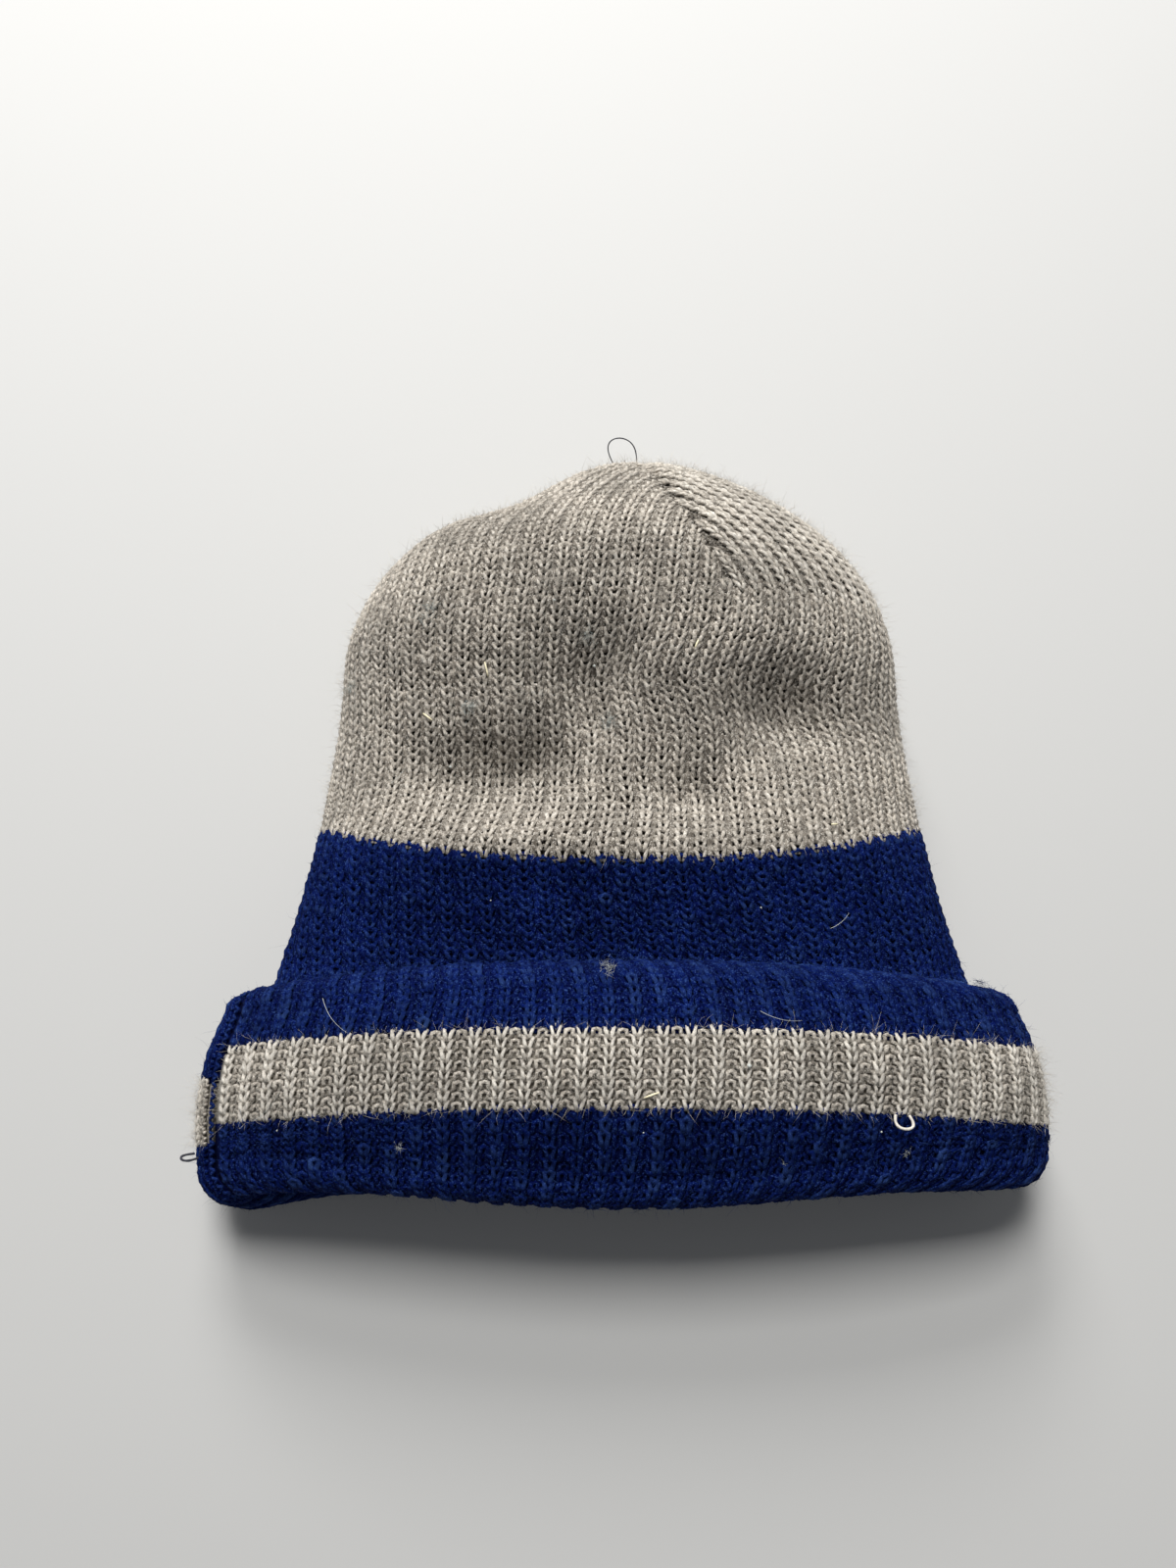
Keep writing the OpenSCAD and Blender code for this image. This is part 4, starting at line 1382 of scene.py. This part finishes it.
def tip_cap(form: HatForm, off: float, thick: float) -> tuple[Array, Array, Array]:
    """A small domed button of cloth closing the crown: rings drawn in toward the tip.

    Args:
        form: The hat's form.
        off: How far outside the shell's face it sits.
        thick: Its thickness.

    Returns:
        Vertices, four-sided faces, three-sided faces.
    """
    n = 32
    th = 360 * np.arange(n) / n
    rim = form.body(th, np.full(n, form.crown_y(form.tip_stop)), off + 0 * th) \
        - np.array(form.middle)
    c = rim.mean(0)
    rings = [c + (rim - c) * k + np.array([0, dy, 0]) for k, dy in
             ((1.0, -thick), (1.0, 0.2), (0.7, 0.7), (0.35, 0.95))]
    verts = np.concatenate([*rings, [c + [0, -thick, 0]], [c + [0, 1.0, 0]]])
    j = np.arange(n)
    k = (j + 1) % n
    quads = np.concatenate([np.stack([i * n + j, i * n + k, (i + 1) * n + k,
                                      (i + 1) * n + j], -1)[:, ::-1] for i in range(3)])
    fans = np.concatenate([np.stack([0 * j + 4 * n, j, k], -1)[:, ::-1],
                           np.stack([0 * j + 4 * n + 1, 3 * n + k, 3 * n + j], -1)[:, ::-1]])
    return verts, quads, fans


class Lining:
    """The inner cap: its wall, three gores and gathered tip, out of sight inside the shell."""

    def __init__(self, shop: Workshop) -> None:
        """Lays out its patches."""
        self.shop = shop
        self.wall = shop.round_patch(shop.r_lining - 1, shop.r_lining_dart + 1)
        self.gores = shop.gore_patches(shop.r_lining_dart, shop.r_end)

    def build(self) -> None:
        """Lays the wall, the gores and the tip."""
        s = self.shop
        ReliefPart(s, "lining_wall_cloth", self.wall, Wool.TAUPE_PAINTED_SHADE, "taupe_lining_knit",
                   ("lining_wall",), s.r_lining, s.r_lining_dart).build()
        for name, patch in self.gores.items():
            ReliefPart(s, f"lining_gore_{name}_cloth", patch, Wool.TAUPE_PAINTED_SHADE,
                       "taupe_lining_knit", (f"lining_gore_{name}",), s.r_lining_dart,
                       s.r_end - 0.1).build()
        skin = Skin()
        v, q, t = tip_cap(s.form, -2 * s.form.ply - s.form.gap - 0.3, 1.2)
        # written as lying deep, so the material paints the cap in shade
        skin.add(v, q, t, -0.8, 0.5)
        s.finish(skin.build("lining_gather_yarn"), Wool.TAUPE_PAINTED_SHADE, "taupe_lining_knit",
                 ("lining_gather",))


class Seams:
    """Whip-stitched seams: a yarn that swings across the join by side sin(p) and dips by
    cos(2p), p turning once a course."""

    def __init__(self, shop: Workshop) -> None:
        """Keeps the workshop."""
        self.shop = shop

    def _sew(self, name: str, node: str, wool: Wool, slot: str, q0: float, q1: float,
             angle: Callable[[Array], Array], deep: float, side: float = 0.8,
             radius: float = 0.42) -> None:
        """Sews one seam from q0 to q1.

        Args:
            name: The piece's name.
            node: The solid it stands for.
            wool: Its yarn.
            slot: Its material slot.
            q0: Where it starts along the path.
            q1: Where it ends.
            angle: Its angle at a path place.
            deep: Height of its middle over the cloth's face.
            side: Half its swing.
            radius: Radius of the yarn.
        """
        f = self.shop.form
        fine = np.linspace(q0, q1, 800)
        step = np.linalg.norm(np.diff(f.cloth(fine, angle(fine), 0.0), axis=0), axis=1)
        s = np.concatenate([[0.0], np.cumsum(step)])
        q = np.interp(np.arange(0, s[-1], self.shop.courses.height / 8), s, fine)
        a, th = 2 * np.pi * np.arange(len(q)) / 8, angle(q)
        face = f.cloth(q, th, 0.0)
        out = face - f.cloth(q, th, 1.0)
        out /= np.linalg.norm(out, axis=1, keepdims=True)
        across = f.cloth(q, th + 0.4, 0.0) - f.cloth(q, th - 0.4, 0.0)
        across /= np.maximum(np.linalg.norm(across, axis=1, keepdims=True), 1e-9)
        path = face + across * (side * np.sin(a))[:, None] \
            + out * (deep + 0.25 * np.cos(2 * a))[:, None]
        path[:, 2] = np.maximum(path[:, 2], radius)
        v, quads, tris = tube(path, out, np.full(len(path), radius))
        skin = Skin()
        # the seam's depth is written as its height, so the material paints it in shade the deeper
        # it lies
        skin.add(v, quads, tris, deep, 0.6, None, np.repeat(out, 4, 0))
        self.shop.finish(skin.build(name), wool, slot, (node,))

    def build(self) -> None:
        """Sews the darts of both caps and the side seam along the whole path."""
        f = self.shop.form
        tip_y = f.crown_y(f.tip_stop)
        caps = (("", f.q_shell(tip_y), f.q_shell(f.dart_end_y), -2.3),
                ("lining_", f.q_lining(f.dart_end_y), f.q_lining(tip_y), -1.2))
        for i, name in enumerate(("front", "left", "right")):
            for cap, q0, q1, deep in caps:
                self._sew(f"{cap}dart_seam_{name}_yarn", f"{cap}dart_seam_{name}", Wool.TAUPE,
                          "seam_yarn", q0, q1,
                          lambda q, k=i: f.dart_angle + f.gore_angle * k + f.twist(q),
                          deep, 0.6)
        border = f.q_shell(f.border_y)
        runs = (("crown", "shell", f.q_shell(f.dart_end_y), border, -1.0, Wool.TAUPE),
                ("shell", "shell", border, 2.0, -1.0, Wool.NAVY),
                ("hidden", "hidden", 2.0, 3.0, -1.0, Wool.NAVY),
                ("cuff", "cuff", 3.0, 6.0, -0.35, Wool.NAVY),
                ("lining", "lining", 6.0, f.q_lining(f.dart_end_y), -1.0, Wool.TAUPE))
        for name, node, q0, q1, deep, wool in runs:
            slot = "navy_seam_yarn" if wool is Wool.NAVY else "seam_yarn"
            self._sew(f"{name}_side_seam_yarn", f"{node}_side_seam", wool, slot, q0, q1,
                      f.seam_at, deep, 0.7, 0.5 if name == "cuff" else 0.42)


class LooseEnds:
    """The thread loop at the tip and the two pulled loops of yarn on the cuff."""

    def __init__(self, shop: Workshop) -> None:
        """Keeps the workshop."""
        self.shop = shop

    def _standing(self, q: float, th: float, h: float) -> Array:
        """A point h outside the cloth."""
        f = self.shop.form
        a, b = f.cloth(q, th, 0.0), f.cloth(q, th, 1.0)
        return a + (a - b) / np.linalg.norm(a - b) * h

    def _loop(self, name: str, node: str, a: Array, b: Array, rise: Sequence[float],
              radius: float, wool: Wool, slot: str) -> None:
        """A loop from a to b: straight between the feet plus a rise of sin(pi t), pinched by
        sin(2 pi t)."""
        t = np.linspace(0, 1, 26)[:, None]
        path = a + (b - a) * t + np.array(rise) * np.sin(np.pi * t) \
            - (b - a) * 0.35 * np.sin(2 * np.pi * t)
        v, q, tr = tube(path, np.tile([0.1, 0.2, 1.0], (26, 1)),
                        radius * (1 + 0.08 * np.sin(26 * t[:, 0])), 6)
        skin = Skin()
        # written as lying high, so the material paints a highlight on the loop
        skin.add(v, q, tr, 0.1, 0.8)
        self.shop.finish(skin.build(name), wool, slot, (node,))

    def build(self) -> None:
        """Makes the three loops."""
        f = self.shop.form
        c = f.body(np.array(90.0), np.array(f.tip[1]), np.array(0.0)) - np.array(f.middle)
        self._loop("tip_thread_loop", "crown_yarn_tail", c + [-5, -0.6, 1.5], c + [2, 0.0, 1.0],
                   (-2.5, 7.2, 6.0), 0.2, Wool.THREAD, "tail_yarn")
        foot = 0.7
        q = f.q_cuff(f.stripe_bottom_y + 2.0)
        self._loop("stripe_pulled_loop", "stripe_snag_loop", self._standing(q, 58.2, foot),
                   self._standing(q, 55.9, foot), (0.4, -3.6, 1.6), 0.42, Wool.TAUPE,
                   "taupe_yarn")
        self._loop("corner_pulled_loop", "corner_snag_loop",
                   self._standing(f.q_cuff(-101), 172.0, foot),
                   self._standing(f.q_cuff(-104), 166.0, foot), (-3.8, -0.8, 1.6), 0.36,
                   Wool.THREAD, "navy_yarn")


class Wear:
    """What use has left on the hat: pills, felted patches, lint, hairs, chaff and straw."""

    PATCHES = ((-84, 40, 2.2, 50, Wool.LINT), (-4.4, -48.1, 2.0, 60, Wool.LINT),
               (-3.4, 27.0, 3.0, 80, Wool.LINT), (-45.8, 30.0, 2.6, 70, Wool.LINT),
               (-10.0, 50.9, 2.4, 60, Wool.LINT), (-20.0, 66.0, 5.0, 130, Wool.TAUPE),
               (12.0, 62.0, 4.0, 110, Wool.TAUPE), (48.0, 14.0, 3.0, 90, Wool.TAUPE),
               (30.0, 64.0, 4.0, 120, Wool.TAUPE), (-34.0, -4.0, 2.0, 60, Wool.TAUPE),
               (-30.0, 29.0, 6.0, 90, Wool.TAUPE),
               (-58.0, 58.0, 4.0, 90, Wool.LINT), (-30.0, 92.0, 7.0, 230, Wool.TAUPE),
               (-52.0, 84.0, 7.0, 230, Wool.TAUPE), (0.0, 98.0, 6.0, 190, Wool.TAUPE),
               (-72.0, 60.0, 6.0, 170, Wool.TAUPE), (36.0, 72.0, 4.0, 110, Wool.TAUPE),
               (104.0, -52.0, 2.2, 80, Wool.NAVY), (-62.0, -96.0, 1.0, 9, Wool.LINT),
               (78.0, -98.0, 1.0, 10, Wool.LINT), (44.0, -101.0, 0.9, 8, Wool.LINT))
    HAIRS = ((-84.2, -55.3, 14.0, -1.25), (35.9, -59.5, 13.0, -0.6), (-104.0, -90.0, 12.0, 0.4),
             (-60.0, -88.0, 9.0, 1.0), (60.0, -36.0, 8.0, 0.3), (-70.0, 8.0, 7.0, 0.5),
             (20.0, 70.0, 9.0, 2.2))
    CHAFF = ((33.3, -74.5, 0.75), (-52.0, 14.0, 0.5), (-20.0, 60.0, 0.5), (-8.0, 44.0, 0.5),
             (-96.0, -92.0, 0.35), (5.0, -92.0, 0.35), (70.0, -92.0, 0.35), (40.0, -30.0, 0.35),
             (-38.0, -28.0, 0.35), (88.0, -70.0, 0.35))
    STRAWS = ((-40.0, 40.5, 4.6, 1.75), (-58.0, 28.0, 3.6, 2.5), (7.0, -82.0, 4.4, 0.35),
              (22.0, 47.0, 2.6, 1.2), (62.0, -6.0, 2.4, 0.2))

    def __init__(self, shop: Workshop, patches: Sequence[Patch]) -> None:
        """Gathers the faces that look up, to find places on."""
        self.shop = shop
        self.p = np.concatenate([a.point.reshape(-1, 3) for a in patches])
        self.n = np.concatenate([a.normal.reshape(-1, 3) for a in patches])
        up = (self.n[:, 2] > 0.15) & (self.p[:, 2] > 12)
        self.p, self.n = self.p[up], self.n[up]

    def _on(self, x: Array, y: Array) -> tuple[Array, Array]:
        """The highest cloth near each place, and its outward direction."""
        at = np.stack([np.asarray(x, float), np.asarray(y, float)], -1) \
            - np.array(self.shop.form.middle[:2])
        p, n = np.empty((len(at), 3)), np.empty((len(at), 3))
        for i, a in enumerate(at):
            near = np.flatnonzero(np.abs(self.p[:, :2] - a).max(1) < 4.0)
            near = near if len(near) else np.arange(len(self.p))
            d = np.linalg.norm(self.p[near, :2] - a, axis=1) - 0.15 * self.p[near, 2]
            best = near[np.argmin(d)]
            p[i], n[i] = self.p[best], self.n[best]
            step = a - p[i, :2]
            p[i, :2] += step * min(1.0, 1.2 / max(float(np.linalg.norm(step)), 1e-6))
        return p, n

    def build(self) -> None:
        """Scatters everything, one piece for each yarn."""
        rng = np.random.default_rng(77)
        for wool in (Wool.TAUPE, Wool.NAVY, Wool.LINT):
            root, out = [], []
            for x, y, spread, count, kind in self.PATCHES:
                if kind is wool:
                    a = rng.normal(0, spread / 2, (count, 2))
                    p, n = self._on(x + a[:, 0], y + a[:, 1])
                    root.append(p + n * 0.4)
                    out.append(n)
            root, out = np.concatenate(root), np.concatenate(out)
            skin = Brusher(90).fibres(root, out, len(root) * 2, (0.6, 2.8), 0.032, 2.0)
            name = {Wool.TAUPE: "taupe_pills", Wool.NAVY: "navy_pill", Wool.LINT: "lint"}[wool]
            slot = "navy_yarn" if wool is Wool.NAVY else "taupe_yarn"
            self.shop.finish(skin.build(name), wool, slot)
        self._hairs()
        self._chaff(rng)
        self._straws()

    def _hairs(self) -> None:
        """Lays single stray hairs along the cloth, each a gentle arc."""
        skin = Skin()
        for x, y, long, turn in self.HAIRS:
            s = np.linspace(0, 1, 12)
            a = turn + 0.7 * s
            p, n = self._on(x + np.cumsum(np.cos(a)) * long / 12,
                            y + np.cumsum(np.sin(a)) * long / 12)
            p[:, 2] = np.convolve(np.pad(p[:, 2], 2, mode="edge"), np.ones(5) / 5, "valid")
            path = p + np.array([0, 0, 1.0]) * (1.0 + 0.8 * np.sin(np.pi * s))[:, None]
            v, q, t = tube(path, n, 0.075 * (1 - 0.6 * s), 3)
            # written as lying high, so the material paints a highlight on the hair
            skin.add(v, q, t, 0.6, 1.0)
        self.shop.finish(skin.build("stray_hairs"), Wool.LINT, "taupe_yarn")

    def _straws(self) -> None:
        """Lays the bits of straw caught in the wool, each a short thin rod that narrows."""
        skin = Skin()
        s = np.linspace(-0.5, 0.5, 4)
        for x, y, long, turn in self.STRAWS:
            p, n = self._on([x], [y])
            way = np.cross(np.cross(n[0], [math.cos(turn), math.sin(turn), 0.0]), n[0])
            path = p[0] + n[0] * 1.3 + way * long * s[:, None]
            v, q, t = tube(path, np.tile(n[0], (4, 1)), 0.40 * (0.9 - 0.8 * np.abs(s)), 5)
            # written as lying high, so the material paints a highlight on the straw
            skin.add(v, q, t, 0.6, 1.0)
        self.shop.finish(skin.build("straws"), Wool.STRAW, "taupe_yarn")

    def _chaff(self, rng: np.random.Generator) -> None:
        """Drops a few pale specks, each an uneven eight-sided grain."""
        skin = Skin()
        grain = np.array([[1, 0, 0], [-1, 0, 0], [0, 1, 0], [0, -1, 0], [0, 0, 1], [0, 0, -1.0]])
        tris = np.array([[0, 2, 4], [2, 1, 4], [1, 3, 4], [3, 0, 4],
                         [2, 0, 5], [1, 2, 5], [3, 1, 5], [0, 3, 5]])
        for x, y, size in self.CHAFF:
            p, n = self._on([x], [y])
            v = p[0] + n[0] * 0.7 + grain * size * rng.uniform(0.6, 1.3, (6, 1))
            # written as lying high, so the material paints a highlight on the grain
            skin.add(v, None, tris, 0.6, 1.0)
        self.shop.finish(skin.build("chaff"), Wool.LINT, "taupe_yarn")


class Nap:
    """The loose fibres: a short nap lying on the yarn and longer ones standing off it."""

    LAYERS = (("taupe_nap", Wool.TAUPE, 13500, (1.0, 3.5), 0.045, 1.6, (0.2, 1.0), "taupe_knit"),
              ("taupe_haze", Wool.TAUPE, 19500, (2.2, 8.0), 0.036, 0.6, (0.4, 1.0), "taupe_knit"),
              ("navy_nap", Wool.NAVY, 15000, (1.0, 3.4), 0.060, 3.0, (0.1, 1.0), "navy_knit"),
              ("navy_haze", Wool.NAVY, 4500, (2.0, 6.0), 0.028, 0.8, (0.4, 1.0), "navy_knit"))

    def __init__(self, shop: Workshop) -> None:
        """Keeps the workshop, whose yarn is already knitted."""
        self.shop = shop

    def build(self) -> None:
        """Brushes up every layer."""
        for i, (name, wool, count, length, radius, lie, tone, slot) in enumerate(self.LAYERS):
            kept = self.shop.roots[wool]
            root = np.concatenate([p for p, _ in kept])
            out = np.concatenate([n for _, n in kept])
            skin = Brusher(5 + i).fibres(root, out, count, length, radius, lie, tone)
            self.shop.finish(skin.build(name), wool, slot)


def main() -> None:
    """Builds the studio and the hat, and logs the solids still showing and the triangle count."""
    logging.basicConfig(level=logging.INFO, format="%(message)s")
    studio = Studio()
    studio.camera()
    studio.floor()
    studio.light()
    shop = Workshop()
    crown = Crown(shop)
    crown.build()
    Band(shop, crown.shell).build()
    cuff = TurnUp(shop)
    cuff.build()
    Lining(shop).build()
    Seams(shop).build()
    LooseEnds(shop).build()
    Wear(shop, [*crown.gores.values(), crown.shell, cuff.patch]).build()
    Nap(shop).build()
    left = [n for n, ob in frame["nodes"].items() if not ob.hide_render]
    LOG.info("solids still showing: %s", left)
    total = sum(sum(len(p.vertices) - 2 for p in ob.data.polygons)
                for ob in bpy.data.objects if ob.type == "MESH" and not ob.hide_render)
    LOG.info("triangles: %d", total)


if __name__ == "__main__":
    main()
